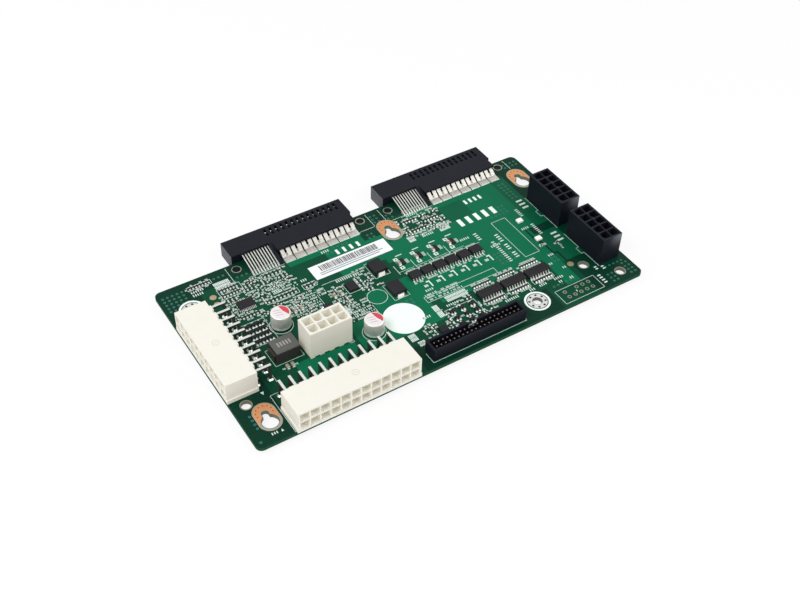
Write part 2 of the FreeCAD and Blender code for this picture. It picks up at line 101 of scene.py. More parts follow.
def centre(low, high):
    """Middle of a box, seen from above."""
    return (low.x + high.x) / 2, (low.y + high.y) / 2


def about(middle, width):
    """The two sides of a width about its middle."""
    return middle - width / 2, middle + width / 2


def arc(x, y, radius, start, end, count=20):
    """Places along a round stretch, angles in degrees."""
    angles = [math.radians(start + (end - start) * i / count) for i in range(count + 1)]
    return [(x + radius * math.cos(angle), y + radius * math.sin(angle)) for angle in angles]


print("board depth and thickness, mm:", round(BOARD_DEPTH, 2), round(BOARD_THICKNESS, 2))

# %% [markdown]
# Many small parts share one CAD node, such as a whole row of chip resistors. To dress each of them
# the script needs to know where every single one lies. Joining the faces that share a corner sorts
# a mesh into its loose parts, and the box round each part is all that is needed here.

# %% Loose parts of a node


def loose_boxes(name):
    """Lowest and highest corner, in board millimetres, of each separate solid in a CAD node."""
    mesh = nodes[name].data
    key = [tuple(round(c / MM, 3) for c in v.co) for v in mesh.vertices]
    parent = {k: k for k in key}

    def root(k):
        while parent[k] != k:
            parent[k] = parent[parent[k]]
            k = parent[k]
        return k

    for face in mesh.polygons:
        first = root(key[face.vertices[0]])
        for index in face.vertices[1:]:
            parent[root(key[index])] = first
    groups = {}
    for vertex, k in zip(mesh.vertices, key):
        groups.setdefault(root(k), []).append(board_place(vertex.co))
    return [(Vector([min(p[axis] for p in points) for axis in range(3)]),
             Vector([max(p[axis] for p in points) for axis in range(3)])) for points in groups.values()]


def centres(name):
    return [centre(*pair) for pair in loose_boxes(name)]


print("power contacts in the left socket:", len(loose_boxes("left_socket_power_contacts")))

# %% [markdown]
# New pieces are gathered in a small mesh book. It knows a few shapes a maker would cut: a block
# with eased top edges, a drawn-out outline, a turned profile and a flat ring. Every one is closed,
# so the meshes are solid. Print and pads lie a hair above the mask, and LAP is how far one
# thin piece runs into the next.

# %% A book of simple shapes
PRINT_LOW, PRINT_HIGH, PAD_HIGH, LAP = 0.002, 0.02, 0.035, 0.01


def add_piece(name, mesh, finish, height=0):
    """Shows a mesh as a piece that rides on the board."""
    mesh.materials.clear()
    mesh.materials.append(finish)
    body = bpy.data.objects.new(name, mesh)
    body.location.z = height
    bpy.context.scene.collection.objects.link(body)
    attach(body, "root")
    print(name, "has", len(mesh.polygons), "faces")
    return body


class MeshBook:
    """Collects corners and faces of many small solids and turns them into one piece."""

    def __init__(self):
        self.points = []
        self.faces = []

    def add(self, points, faces):
        start = len(self.points)
        self.points += [tuple(p) for p in points]
        self.faces += [tuple(start + i for i in face) for face in faces]

    def drawn_out(self, near, far):
        """Joins two outlines by walls and closes both ends."""
        count = len(near)
        faces = [tuple(reversed(range(count))), tuple(range(count, 2 * count))]
        faces += [(i, (i + 1) % count, count + (i + 1) % count, count + i) for i in range(count)]
        self.add(near + far, faces)

    def prism(self, outline, low=PRINT_LOW, high=PRINT_HIGH, inset=0):
        """An outline of (x, y) places drawn out from low to high, drawn in at the top by inset."""
        count = len(outline)
        middle_x = sum(x for x, y in outline) / count
        middle_y = sum(y for x, y in outline) / count
        upper = []
        for x, y in outline:
            dx, dy = x - middle_x, y - middle_y
            away = math.hypot(dx, dy) or 1
            upper.append((x - inset * dx / away, y - inset * dy / away))
        self.drawn_out([spot(x, y, low) for x, y in outline], [spot(x, y, high) for x, y in upper])

    def block(self, low, high, inset=0):
        outline = [(low[0], low[1]), (high[0], low[1]), (high[0], high[1]), (low[0], high[1])]
        self.prism(outline, low[2], high[2], inset)

    def strip(self, x0, y0, x1, y1, width, low=PRINT_LOW, high=PRINT_HIGH):
        """A straight stroke between two places."""
        length = math.hypot(x1 - x0, y1 - y0) or 1
        across = (-(y1 - y0) / length * width / 2, (x1 - x0) / length * width / 2)
        self.prism([(x0 - across[0], y0 - across[1]), (x1 - across[0], y1 - across[1]),
                    (x1 + across[0], y1 + across[1]), (x0 + across[0], y0 + across[1])], low, high)

    def turned(self, x, y, profile, count, hollow=False):
        """(radius, z) pairs turned about an upright line, with end caps or, if hollow, back to the first."""
        points = [spot(*place, z) for radius, z in profile for place in arc(x, y, radius, 0, 360, count)[:-1]]
        rings = len(profile)
        caps = [tuple(reversed(range(count))), tuple(range((rings - 1) * count, rings * count))]
        faces = [] if hollow else caps
        for ring in range(rings if hollow else rings - 1):
            after = (ring + 1) % rings
            for i in range(count):
                j = (i + 1) % count
                faces.append((ring * count + i, ring * count + j, after * count + j, after * count + i))
        self.add(points, faces)

    def disc(self, x, y, radius, low=PRINT_LOW, high=PRINT_HIGH, count=16):
        self.turned(x, y, [(radius, low), (radius, high)], count)

    def ring(self, x, y, inner, outer, low=PRINT_LOW, high=PRINT_HIGH, count=32):
        """A flat washer."""
        self.turned(x, y, [(outer, low), (outer, high), (inner, high), (inner, low)], count, hollow=True)

    def ribbon(self, outline, left, right):
        """An outline of (y, z) places drawn out along X, such as a bent lead."""
        self.drawn_out([spot(right, y, z) for y, z in outline], [spot(left, y, z) for y, z in outline])

    def piece(self, name, finish, slot="laminate", smooth=False):
        mesh = bpy.data.meshes.new(name)
        mesh.from_pydata(self.points, [], self.faces)
        mesh.validate()
        if smooth:
            mesh.shade_smooth()
        return add_piece(name, mesh, finish)


# %% [markdown]
# Finishes are node trees. Writing them node by node hides the idea, so a socket is wrapped in a
# class with the usual operators, and an expression such as `1 - mask * 0.3` adds its own Math
# nodes. Every other node comes from one method, which takes its type, its settings and its sockets.
# A bare triple stands for a screen colour from 0 to 255.

# %% A small language for finishes


class Wire:
    """An output socket that can be used in sums."""

    def __init__(self, finish, socket):
        self.finish = finish
        self.socket = socket

    def maths(self, operation, first, second=0):
        return self.finish.node("ShaderNodeMath", {"operation": operation}, {0: first, 1: second})

    def __add__(self, other):
        return self.maths("ADD", self, other)

    def __radd__(self, other):
        return self.maths("ADD", other, self)

    def __sub__(self, other):
        return self.maths("SUBTRACT", self, other)

    def __rsub__(self, other):
        return self.maths("SUBTRACT", other, self)

    def __mul__(self, other):
        return self.maths("MULTIPLY", self, other)

    def __gt__(self, other):
        return self.maths("GREATER_THAN", self, other)

    def __lt__(self, other):
        return self.maths("LESS_THAN", self, other)

    def __abs__(self):
        return self.maths("ABSOLUTE", self)

    def most(self, other):
        return self.maths("MAXIMUM", self, other)


def linear(value):
    """A screen value from 0 to 255 as the linear share that a shader wants."""
    value = value / 255
    return value / 12.92 if value <= 0.04045 else ((value + 0.055) / 1.055) ** 2.4


class Graph:
    """A node tree, of a material or of the world."""

    def __init__(self, tree):
        self.tree = tree

    def node(self, kind, settings, sockets, output=0):
        made = self.tree.nodes.new(kind)
        for name, value in settings.items():
            setattr(made, name, value)
        for key, value in sockets.items():
            self.feed(made.inputs[key], value)
        return Wire(self, made.outputs[output])

    def feed(self, socket, value):
        if isinstance(value, Wire):
            self.tree.links.new(value.socket, socket)
        elif isinstance(value, tuple) and len(value) == 3:
            socket.default_value = (*[linear(share) for share in value], 1)
        else:
            socket.default_value = value

    def background_rays(self):
        """1 for rays that should see the white studio: from the camera, a mirror or clear plastic."""
        seen = [self.node("ShaderNodeLightPath", {}, {}, name)
                for name in ("Is Camera Ray", "Is Glossy Ray", "Is Transmission Ray")]
        return seen[0].most(seen[1]).most(seen[2])


class Finish(Graph):
    """One material, with a Principled shader that its last line fills."""

    def __init__(self, name):
        self.material = bpy.data.materials.new(name)
        self.material.use_nodes = True
        super().__init__(self.material.node_tree)
        self.shader = self.tree.nodes["Principled BSDF"]
        self.place = self.node("ShaderNodeTexCoord", {}, {}, "Object")

    def noise(self, scale, detail=2):
        sockets = {"Vector": self.place, "Scale": scale, "Detail": detail}
        return self.node("ShaderNodeTexNoise", {}, sockets, "Fac")

    def along(self, axis):
        return self.node("ShaderNodeSeparateXYZ", {}, {"Vector": self.place}, axis)

    def facing(self, axis):
        """How far a face looks along an axis, from -1 to 1."""
        normal = self.node("ShaderNodeNewGeometry", {}, {}, "Normal")
        return self.node("ShaderNodeSeparateXYZ", {}, {"Vector": normal}, axis)

    def blend(self, factor, first, second):
        return self.node("ShaderNodeMix", {"data_type": "RGBA"}, {0: factor, 6: first, 7: second}, 2)

    def step(self, value, low, high):
        return self.node("ShaderNodeMapRange", {"interpolation_type": "SMOOTHSTEP"},
                         {"Value": value, "From Min": low, "From Max": high})

    def soft_edge(self, radius):
        return self.node("ShaderNodeBevel", {"samples": 4}, {"Radius": radius})

    def bump(self, height, strength, distance, over=None):
        sockets = {"Height": height, "Strength": strength, "Distance": distance}
        if over:
            sockets["Normal"] = over
        return self.node("ShaderNodeBump", {}, sockets)

    def fill(self, **sockets):
        for name, value in sockets.items():
            self.feed(self.shader.inputs[name.replace("_", " ")], value)
        return self.material


def inside_fields(finish, fields):
    """1 inside any of the (left, right, front, rear) rectangles, 0 outside."""
    x, y = finish.along("X"), finish.along("Y")
    mask = None
    for left, right, front, rear in fields:
        middle = spot((left + right) / 2, (front + rear) / 2)
        across = abs(x - middle.x) < (right - left) / 2 * MM
        up = abs(y - middle.y) < (rear - front) / 2 * MM
        mask = across * up if mask is None else mask.most(across * up)
    return mask


# %% [markdown]
# The green face is a thin solder mask over copper. Where copper lies below, the green is lighter,
# and between the copper fields the darker laminate shows through. Some fields are darker still, and
# the dark strip along the rear edge under the socket leads is painted shade. The fields are simple
# rectangles in board millimetres, and between them fine tracks run as a faint brick pattern. The sawn
# edges show the darker laminate, which a mask on the upright direction picks out.

# %% Board finish
COPPER_FIELDS = [
    (30, 55, 18, 29), (57, 92, 20, 36), (72, 92, 36, 48), (70, 97, 61, 80), (90, 126, 58, 69),
    (92, 153, 31, 58), (145, 151.5, 10, 66), (151.5, 156, 46, 66), (54, 71, 76.8, 82), (96, 150, 27.5, 31),
    (147, 150, 15, 27.5), (126, 138, 58, 66), (138, 156, 58, 80), (111, 138, 77, 82)]
FAINT_FIELDS = [(150, 163, 22, 46), (156, 163, 46, 80), (126, 138, 66, 77)]
# Darker patches of mask; the strip along the rear edge, under the socket leads, is painted shade.
DARK_AND_SHADED_FIELDS = [
    (0, 177, 82, 91), (88.5, 97, 75, 82), (0, 16, 0, 91), (71, 136, 0, 13), (163, 177, 0, 91),
    (154, 163, 0, 22), (152, 163, 41.5, 46), (150, 150.9, 38.5, 46), (150.6, 152.2, 33.5, 38.8),
    (151.4, 152.4, 28.2, 34), (151.8, 154.2, 27.6, 28.6), (153.2, 154.2, 20, 28)]


def make_board_finish():
    finish = Finish("green_mask")
    upright = finish.facing("Z")
    upper_face = 1 - (upright < 0.5)
    copper, faint, dark = [inside_fields(finish, fields) * upper_face
                           for fields in (COPPER_FIELDS, FAINT_FIELDS, DARK_AND_SHADED_FIELDS)]
    cloud = finish.noise(60)
    tracks = finish.node("ShaderNodeTexBrick", {"offset": 0.37},
                         {"Vector": finish.place, "Scale": 160, "Mortar Size": 0.03, "Brick Width": 0.9,
                          "Row Height": 0.22}, "Fac") * (1 - copper)
    base = finish.blend(cloud * 0.6, (2, 61, 41), (5, 74, 50))
    lit = finish.blend(copper.most(faint * 0.5) * (0.75 + cloud * 0.25), base, (4, 105, 72))
    # Partly painted shade: the darker fields include the shaded strip under the socket leads.
    deep = finish.blend(dark * 0.9, lit, (0, 42, 30))
    drawn = finish.blend(tracks * 0.14, deep, (8, 76, 54))
    side = abs(upright) < 0.5
    edge = finish.blend(finish.noise(2500), (14, 56, 38), (40, 84, 56))
    height = tracks * -0.15 + copper * 0.5 + finish.noise(900) * 0.15
    return finish.fill(Base_Color=finish.blend(side, drawn, edge),
                       Roughness=0.42 + finish.noise(400) * 0.12 + side * 0.3,
                       Normal=finish.bump(height, 0.3, 0.00004), Specular_IOR_Level=0.1)


BOARD_FINISH = make_board_finish()
nodes["circuit_board"].data.materials.clear()
nodes["circuit_board"].data.materials.append(BOARD_FINISH)
print("board finish:", len(BOARD_FINISH.node_tree.nodes), "nodes")

# %% [markdown]
# Moulded plastics differ in colour, gloss and a very fine grain from the mould. One maker function
# gives them all, with a slow cloud of tone so that large faces don't look printed, and a soft rim
# on the edges, which a moulding always has. Pale nylon lets light through, and a warm emission stands
# for that: painted light that lifts the shaded faces and deep cavities. Metals and inks have a maker function
# each.

# %% Plastic, metal and paper finishes


def moulded(name, pale, deep, rough, grain=0.05, edge=0.00018, glow=0, shine=0.4, depth=None):
    finish = Finish(name)
    tone = finish.blend(finish.noise(220), deep, pale)
    fine = finish.bump(finish.noise(5200), grain, 0.00004, finish.soft_edge(edge))
    # The emission is painted light: a faint warm glow that lifts shaded faces and cavities.
    return finish.fill(Base_Color=tone, Roughness=rough + finish.noise(900) * 0.12, Normal=fine,
                       Specular_IOR_Level=shine, Emission_Color=depth or tone, Emission_Strength=glow)


def plated(name, bright, dull, rough, metal=1):
    """Tin, solder or copper: a metal with a cloudy, slightly wiped surface."""
    finish = Finish(name)
    cloud = finish.noise(700, 4)
    wiped = finish.bump(finish.noise(2600, 3), 0.12, 0.00003, finish.soft_edge(0.00005))
    return finish.fill(Base_Color=finish.blend(cloud, dull, bright), Metallic=metal,
                       Roughness=rough + cloud * 0.15, Normal=wiped)


def printed(name, pale, deep, rough=0.6):
    """Ink or paper: a flat coat with a little unevenness."""
    finish = Finish(name)
    tone = finish.blend(finish.noise(1500, 4), deep, pale)
    return finish.fill(Base_Color=tone, Roughness=rough + finish.noise(800) * 0.1,
                       Normal=finish.bump(finish.noise(4000), 0.08, 0.00002))


# Warm colour of the painted glow on the pale nylon.
WARM_PAINTED_GLOW = (255, 241, 206)
BLACK_PALE, BLACK_DEEP, BLACK_ROUGH, BLACK_SHINE = (19, 23, 33), (11, 14, 23), 0.46, 0.15
WHITE_PLASTIC = moulded("white_plastic", (211, 212, 209), (206, 205, 197), 0.42, glow=0.16, shine=0.2,
                        depth=WARM_PAINTED_GLOW)
MOULD_MARK = moulded("mould_mark", (199, 198, 191), (191, 188, 180), 0.5, glow=0.14, shine=0.2,
                     depth=WARM_PAINTED_GLOW)
BLACK_PLASTIC = moulded("black_plastic", BLACK_PALE, BLACK_DEEP, BLACK_ROUGH, shine=BLACK_SHINE)
CHIP_BLACK = moulded("chip_black", (33, 32, 37), (21, 21, 25), 0.5, 0.12, 0.00008, shine=0.2)
RESISTOR_BLACK = moulded("resistor_glaze", (34, 34, 36), (22, 22, 24), 0.35, 0.05, 0.00005)
CERAMIC_TAN = moulded("capacitor_ceramic", (172, 157, 134), (126, 110, 90), 0.5, 0.08, 0.00005)
SEAL_RUBBER = moulded("seal_rubber", (30, 31, 33), (20, 21, 23), 0.7, 0.1)
LAMP_LENS = moulded("lamp_lens", (250, 250, 244), (238, 240, 232), 0.15, 0.02, 0.0002, 0.1)
TIN = plated("bright_tin", (226, 226, 218), (194, 196, 190), 0.26, metal=0.72)
SOLDER = plated("solder", (232, 234, 230), (200, 204, 202), 0.26)
WET_SOLDER = plated("wet_solder", (244, 245, 242), (224, 226, 223), 0.3, metal=0.5)
SPRING_METAL = plated("spring_metal", (104, 104, 110), (62, 62, 68), 0.4)
CLIP_METAL = plated("tinned_clip", (120, 116, 110), (88, 86, 84), 0.4)
CAN_METAL = plated("can_aluminium", (236, 236, 230), (220, 220, 214), 0.36, metal=0.5)
BARE_COPPER = plated("bare_copper_pad", (226, 164, 118), (206, 140, 94), 0.4)
TEST_COPPER = plated("worn_test_pad", (190, 172, 144), (160, 142, 114), 0.45)
HOLE_WALL = plated("hole_wall", (138, 138, 122), (92, 94, 82), 0.45)
RIM_METAL = plated("dull_rim", (182, 180, 164), (150, 148, 132), 0.42)
BOLD_INK = printed("bold_ink", (238, 246, 241), (226, 237, 231))
WHITE_INK = printed("white_ink", (219, 231, 224), (197, 214, 206))
PALE_GREEN_INK = printed("thin_ink", (44, 118, 100), (30, 98, 82))
LABEL_PAPER = printed("label_paper", (240, 242, 242), (230, 234, 235))
BLACK_INK = printed("black_ink", (40, 42, 46), (26, 28, 32))
GREY_INK = printed("grey_ink", (142, 150, 154), (122, 130, 136))
PALE_GREY_INK = printed("pale_grey_ink", (158, 156, 152), (138, 136, 132))
RED_INK = printed("red_ink", (206, 66, 76), (190, 52, 64), 0.5)
LID_TONE = printed("lid_coat", (230, 224, 224), (218, 210, 211), 0.4)
LID_INK = printed("lid_ink", (184, 172, 190), (166, 154, 176), 0.5)
# Painted shade: a dark coat for the middles of holes and the gaps under the upright header.
HOLE_AND_GAP_SHADE = printed("hole_and_gap_shade", (14, 36, 28), (6, 20, 15))
print("plain finishes:", len(bpy.data.materials))

# %% [markdown]
# Some finishes follow a part's form. Ferrite is paler on its upward faces. Thin pins have a painted
# highlight at the tip and painted shade down the shaft, and bent pins a painted highlight on their
# backs and a painted reflection of the green board on their flanks. The stamped contacts have a strip
# of painted shade below each notch. The black headers' tops are painted dark by each opening, as shade
# in the lead-ins between thin ribs, and their front ends and the left ends of the sockets carry a painted
# sheen.

# %% Finishes that follow a part's form
LOOKS_ALONG = 0.7
TIP_START, TIP_END = 0.9, 0.2
SHADED_GROOVE_WIDTH, SHADED_GROOVE_START = 0.9, 3
RIM_WIDTH, RIB_WIDTH, END_SKIN = 0.45, 0.4, 0.15
BLACK_WAYS, POWER_PITCH = 5, 4.2
SHEEN_FROM_BELOW, SHEEN_FROM_LEFT = 0.45, 0.25
SOCKET_END, SOCKET_SKIN = 6, 0.1


def make_ferrite():
    finish = Finish("ferrite")
    top = finish.facing("Z") > LOOKS_ALONG
    grain = finish.noise(3000, 4)
    sides = finish.blend(grain, (36, 37, 37), (58, 58, 56))
    # The upward faces are paler than the sides.
    upper_tone = finish.blend(grain, (74, 76, 74), (98, 98, 94))
    return finish.fill(Base_Color=finish.blend(top, sides, upper_tone), Roughness=0.55 + grain * 0.2,
                       Normal=finish.bump(grain, 0.3, 0.00004), Specular_IOR_Level=0.3)


def make_pin_finish():
    finish = Finish("plated_pin")
    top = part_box("box_header_pins")[1].z
    tip = finish.step(finish.along("Z"), top - TIP_START * MM, top - TIP_END * MM)
    cloud = finish.noise(900, 4)
    # Painted shade down the shaft and a painted highlight at the tip.
    shaded_shaft = finish.blend(cloud, (52, 48, 44), (78, 72, 64))
    shine = finish.blend(cloud, (116, 105, 102), (150, 139, 136))
    return finish.fill(Base_Color=finish.blend(tip, shaded_shaft, shine), Metallic=1, Roughness=0.32 + cloud * 0.15)


def make_bent_pin_finish():
    """Bent pins: a painted highlight on their upward backs, and a painted reflection of the green board on
    their flanks.
    """
    finish = Finish("bent_pin_tin")
    cloud = finish.noise(900, 4)
    # Painted reflection of the green board on the flanks, and a painted highlight on the upward backs.
    board_reflection = finish.blend(cloud, (44, 66, 56), (84, 100, 92))
    back = finish.blend(cloud, (192, 196, 190), (232, 234, 229))
    tone = finish.blend(finish.step(finish.facing("Z"), 0.15, 0.6), board_reflection, back)
    return finish.fill(Base_Color=tone, Metallic=0.6, Roughness=0.28 + cloud * 0.15)


def make_contact_finish(names):
    finish = Finish("contact_tin")
    cloud = finish.noise(1100, 4)
    skin = finish.blend(cloud, (160, 157, 149), (228, 226, 219))
    groove_shades = []
    for low, high in [pair for name in names for pair in loose_boxes(name)]:
        x = centre(low, high)[0]
        groove_shades.append((*about(x, SHADED_GROOVE_WIDTH), low.y + SHADED_GROOVE_START, high.y))
    # Painted shade: a darker strip down the middle of each contact, from behind its toe to the notch at its
    # rear end.
    tone = finish.blend(inside_fields(finish, groove_shades) * 0.8, skin, (112, 106, 96))
    return finish.fill(Base_Color=tone, Metallic=0.6, Roughness=0.3 + cloud * 0.2,
                       Normal=finish.bump(cloud, 0.25, 0.00006))


def black_skin(finish):
    return finish.blend(finish.noise(220), BLACK_DEEP, BLACK_PALE)


def black_fill(finish, tone, edge):
    return finish.fill(Base_Color=tone, Roughness=BLACK_ROUGH + finish.noise(900) * 0.12,
                       Normal=finish.soft_edge(edge), Specular_IOR_Level=BLACK_SHINE)


def make_black_header_finish(names):
    finish = Finish("black_header_plastic")
    upper = finish.facing("Z") > LOOKS_ALONG
    ribs, ends = [], []
    for name in names:
        low, high = loose_boxes(name)[0]
        x, y = centre(low, high)
        ribs += [(low.x, low.x + RIM_WIDTH, low.y, high.y), (high.x - RIM_WIDTH, high.x, low.y, high.y),
                 (low.x, high.x, low.y, low.y + RIM_WIDTH), (low.x, high.x, high.y - RIM_WIDTH, high.y),
                 (*about(x, RIB_WIDTH), low.y, high.y)]
        ends.append((low.x - END_SKIN, high.x + END_SKIN, low.y - END_SKIN, low.y + END_SKIN))
        for way in range(1, BLACK_WAYS):
            wall = y + (way - BLACK_WAYS / 2) * POWER_PITCH
            ribs.append((low.x, high.x, *about(wall, RIB_WIDTH)))
    # Painted shade: on the tops, the inner part of each wall by an opening is dark as a shaded lead-in, and
    # the rib lines are paler.
    mouth_shade = finish.blend(inside_fields(finish, ribs), (6, 7, 12), (32, 35, 46))
    # Painted sheen: the upper right of each header's front end is paler, where the light falls.
    low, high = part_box(names[-1])
    start = low + Vector(((high.x - low.x) * SHEEN_FROM_LEFT, 0, (high.z - low.z) * SHEEN_FROM_BELOW))
    end_sheen = finish.step(finish.along("Z"), start.z, high.z) * finish.step(finish.along("X"), start.x, high.x)
    end_sheen = end_sheen * inside_fields(finish, ends) * (1 - upper)
    tone = finish.blend(end_sheen, finish.blend(upper, black_skin(finish), mouth_shade), (116, 122, 130))
    return black_fill(finish, tone, 0.00012)


def make_socket_finish(names):
    finish = Finish("socket_plastic")
    leftward = (finish.facing("X") * -1) > LOOKS_ALONG
    ends = []
    for name in names:
        low, high = loose_boxes(name)[0]
        ends.append((low.x - SOCKET_SKIN, low.x + SOCKET_END, low.y, high.y))
    # Painted light: the left end faces are paler, where the key light from the left falls on them.
    pale = finish.blend(finish.noise(300), (66, 68, 72), (98, 98, 104))
    tone = finish.blend(inside_fields(finish, ends) * leftward, black_skin(finish), pale)
    return black_fill(finish, tone, 0.00018)


SLOT_FINISH = {"white_plastic": WHITE_PLASTIC, "black_plastic": BLACK_PLASTIC, "tinned_metal": TIN,
               "gold_pin": make_pin_finish(), "solder": SOLDER, "can_metal": CAN_METAL,
               "seal_rubber": SEAL_RUBBER, "ferrite": make_ferrite(), "copper": CLIP_METAL,
               "chip_black": CHIP_BLACK, "resistor_ceramic": RESISTOR_BLACK, "capacitor_ceramic": CERAMIC_TAN,
               "lamp_lens": LAMP_LENS, "label_paper": LABEL_PAPER}
for part in frame["record"]["subparts"]:
    if part["material_slot"] in SLOT_FINISH:
        mesh = nodes[part["node"]].data
        mesh.materials.clear()
        mesh.materials.append(SLOT_FINISH[part["material_slot"]])
BENT_PINS = ["main_power_header_pins", "side_power_header_pins"]
CONTACTS = ["left_socket_power_contacts", "right_socket_power_contacts"]
BLACK_HEADERS = ["front_black_header_housing", "rear_black_header_housing"]
SOCKETS = ["left_socket_housing", "right_socket_housing"]
for names, own in [(BENT_PINS, make_bent_pin_finish()), (CONTACTS, make_contact_finish(CONTACTS)),
                   (BLACK_HEADERS, make_black_header_finish(BLACK_HEADERS)),
                   (SOCKETS, make_socket_finish(SOCKETS))]:
    for name in names:
        nodes[name].data.materials[0] = own
print("all finishes:", len(bpy.data.materials))

# %% [markdown]
# Keyholes sit on bare pads, which earth the board to the stud heads. A pad is a tinned pill with
# the keyhole cut out of it, and round the narrow slot the tin has worn down to a horseshoe of
# copper. A filled curve with an inner outline makes each plate in one go.

# %% Flat plates with holes


def pill(x, front, rear, radius):
    return arc(x, rear - radius, radius, 0, 180) + arc(x, front + radius, radius, 180, 360)


def keyhole(x, y, wide, narrow, travel):
    meet = math.degrees(math.asin(narrow / wide))
    return arc(x, y, wide, 90 + meet, 450 - meet) + arc(x, y + travel, narrow, 0, 180)


def plate(name, outlines, low, high, finish):
    """A flat plate from outlines of (x, y) places: the first is the rim and the rest are holes."""
    drawing = bpy.data.curves.new(name, "CURVE")
    drawing.dimensions = "2D"
    drawing.fill_mode = "BOTH"
    drawing.extrude = (high - low) / 2 * MM
    for outline in outlines:
        line = drawing.splines.new("POLY")
        line.points.add(len(outline) - 1)
        for point, (x, y) in zip(line.points, outline):
            point.co = (*spot(x, y)[:2], 0, 1)
        line.use_cyclic_u = True
    sketch = bpy.data.objects.new(name + "_sketch", drawing)
    bpy.context.scene.collection.objects.link(sketch)
    solved = sketch.evaluated_get(bpy.context.evaluated_depsgraph_get())
    mesh = bpy.data.meshes.new_from_object(solved)
    bpy.data.objects.remove(sketch)
    mesh.name = name
    add_piece(name, mesh, finish, spot(0, 0, (low + high) / 2).z)


# %% [markdown]
# Each pad is then a land, the copper arch, a thin plating on the keyhole's wall and a half ring of
# small holes round the slot.

# %% Keyhole pads
KEYHOLE_WIDE, KEYHOLE_NARROW, KEYHOLE_TRAVEL = 3.25, 1.35, 4
KEYHOLES = {"left": (9.6, 9.4), "middle": (101.1, 73.2), "right": (169.5, 73.2)}
PAD_RADIUS, PAD_FRONT, PAD_REAR, PAD_RIM, PAD_GAP = 4.3, 4.2, 9.2, 0.2, 0.12
ARCH_START, ARCH_WIDER, ARCH_BROADER, ARCH_SINK = 0.5, 0.1, 0.35, 0.012
PLATING, PLATING_GAP, PLATING_FLOOR = 0.05, 0.005, LAP - BOARD_THICKNESS
PAD_VIA_CIRCLE, PAD_VIA_SHIFT, PAD_VIA_RADIUS, PAD_VIA_RISE = 3.2, 0.7, 0.24, 0.016
PAD_VIA_ANGLES = (-15, 195)


def copper_arch(x, y, wide, narrow):
    """The bare half of a pad: a horseshoe round the narrow slot of a keyhole."""
    out = math.degrees(math.asin(ARCH_START / wide))
    meet = math.degrees(math.acos(narrow / wide))
    reach = PAD_RADIUS - PAD_RIM
    outer = arc(x, y + PAD_REAR - PAD_RADIUS, reach, 0, 180)
    left = arc(x, y, wide, 180 - out, 180 - meet, count=8)
    top = arc(x, y + KEYHOLE_TRAVEL, narrow, 180, 0)
    right = arc(x, y, wide, meet, out, count=8)
    return outer + [(x - reach, y + ARCH_START)] + left + top + right + [(x + reach, y + ARCH_START)]


pad_vias = MeshBook()
for side, (x, y) in KEYHOLES.items():
    wide, narrow = KEYHOLE_WIDE + PAD_GAP, KEYHOLE_NARROW + PAD_GAP
    rim = pill(x, y - PAD_FRONT - PAD_RIM, y + PAD_REAR + PAD_RIM, PAD_RADIUS + PAD_RIM)
    plate(side + "_keyhole_land", [rim, keyhole(x, y, wide, narrow, KEYHOLE_TRAVEL)], PRINT_LOW,
          PAD_HIGH - LAP, RIM_METAL)
    plate(side + "_keyhole_copper", [copper_arch(x, y, wide + ARCH_WIDER, narrow + ARCH_BROADER)],
          PAD_HIGH - ARCH_SINK, PAD_HIGH + LAP, BARE_COPPER)
    lining = [keyhole(x, y, KEYHOLE_WIDE - inset, KEYHOLE_NARROW - inset, KEYHOLE_TRAVEL)
              for inset in (PLATING_GAP, PLATING)]
    plate(side + "_keyhole_plating", lining, PLATING_FLOOR, PRINT_LOW, HOLE_WALL)
    for place in arc(x, y + KEYHOLE_TRAVEL + PAD_VIA_SHIFT, PAD_VIA_CIRCLE, *PAD_VIA_ANGLES, count=7):
        pad_vias.disc(*place, PAD_VIA_RADIUS, PAD_HIGH, PAD_HIGH + PAD_VIA_RISE, count=12)
# The small holes are dark discs of painted shade.
pad_vias.piece("keyhole_pad_vias", HOLE_AND_GAP_SHADE)

# %% [markdown]
# The two screw holes have a tinned land for the screw head, a ring of small plated holes that
# carry the current to the inner layers, and a printed ring. Guide holes have only a thin dull rim.

# %% Round lands and rims
SCREW_HOLES = [(128.7, 8.9), (9.7, 74.8)]
GUIDE_HOLES = [(5.6, 20.6), (157.9, 16.1), (168.6, 5.5)]
SOCKET_HOLES = [(34.8, 87), (93.2, 87), (107.1, 87), (165.5, 87)]
TEST_PADS = [(19.6, 77), (153.7, 19.3), (19.4, 72.6)]
HOLE_RADIUS, TEST_RADIUS = 2, (1.4, 1.35)
SCREW_LAND, SCREW_RING, GUIDE_RIM, SOCKET_RIM = (2.1, 4.1), (4.45, 5.35), (2.05, 2.4), (1.72, 2.1)
LAND_VIA_CIRCLE, LAND_VIA_ANGLES, LAND_VIA_RADIUS, LAND_VIA_TOP = 3.3, (22.5, 337.5), 0.5, 0.05
lands, rims, white_rings, vias, tan_pads, hole_plating = [MeshBook() for _ in range(6)]
for x, y in SCREW_HOLES + GUIDE_HOLES:
    hole_plating.ring(x, y, HOLE_RADIUS - PLATING, HOLE_RADIUS - PLATING_GAP, PLATING_FLOOR, PRINT_LOW,
                      count=40)
for x, y in SCREW_HOLES:
    lands.ring(x, y, *SCREW_LAND, PRINT_LOW, PAD_HIGH, count=40)
    white_rings.ring(x, y, *SCREW_RING, count=48)
    for place in arc(x, y, LAND_VIA_CIRCLE, *LAND_VIA_ANGLES, count=7):
        vias.disc(*place, LAND_VIA_RADIUS, PAD_HIGH - LAP, LAND_VIA_TOP, count=14)
for places, rim in ((GUIDE_HOLES, GUIDE_RIM), (SOCKET_HOLES, SOCKET_RIM)):
    for x, y in places:
        rims.ring(x, y, *rim)
for x, y in TEST_PADS:
    tan_pads.turned(x, y, [(TEST_RADIUS[0], PRINT_LOW), (TEST_RADIUS[1], PAD_HIGH)], count=28)
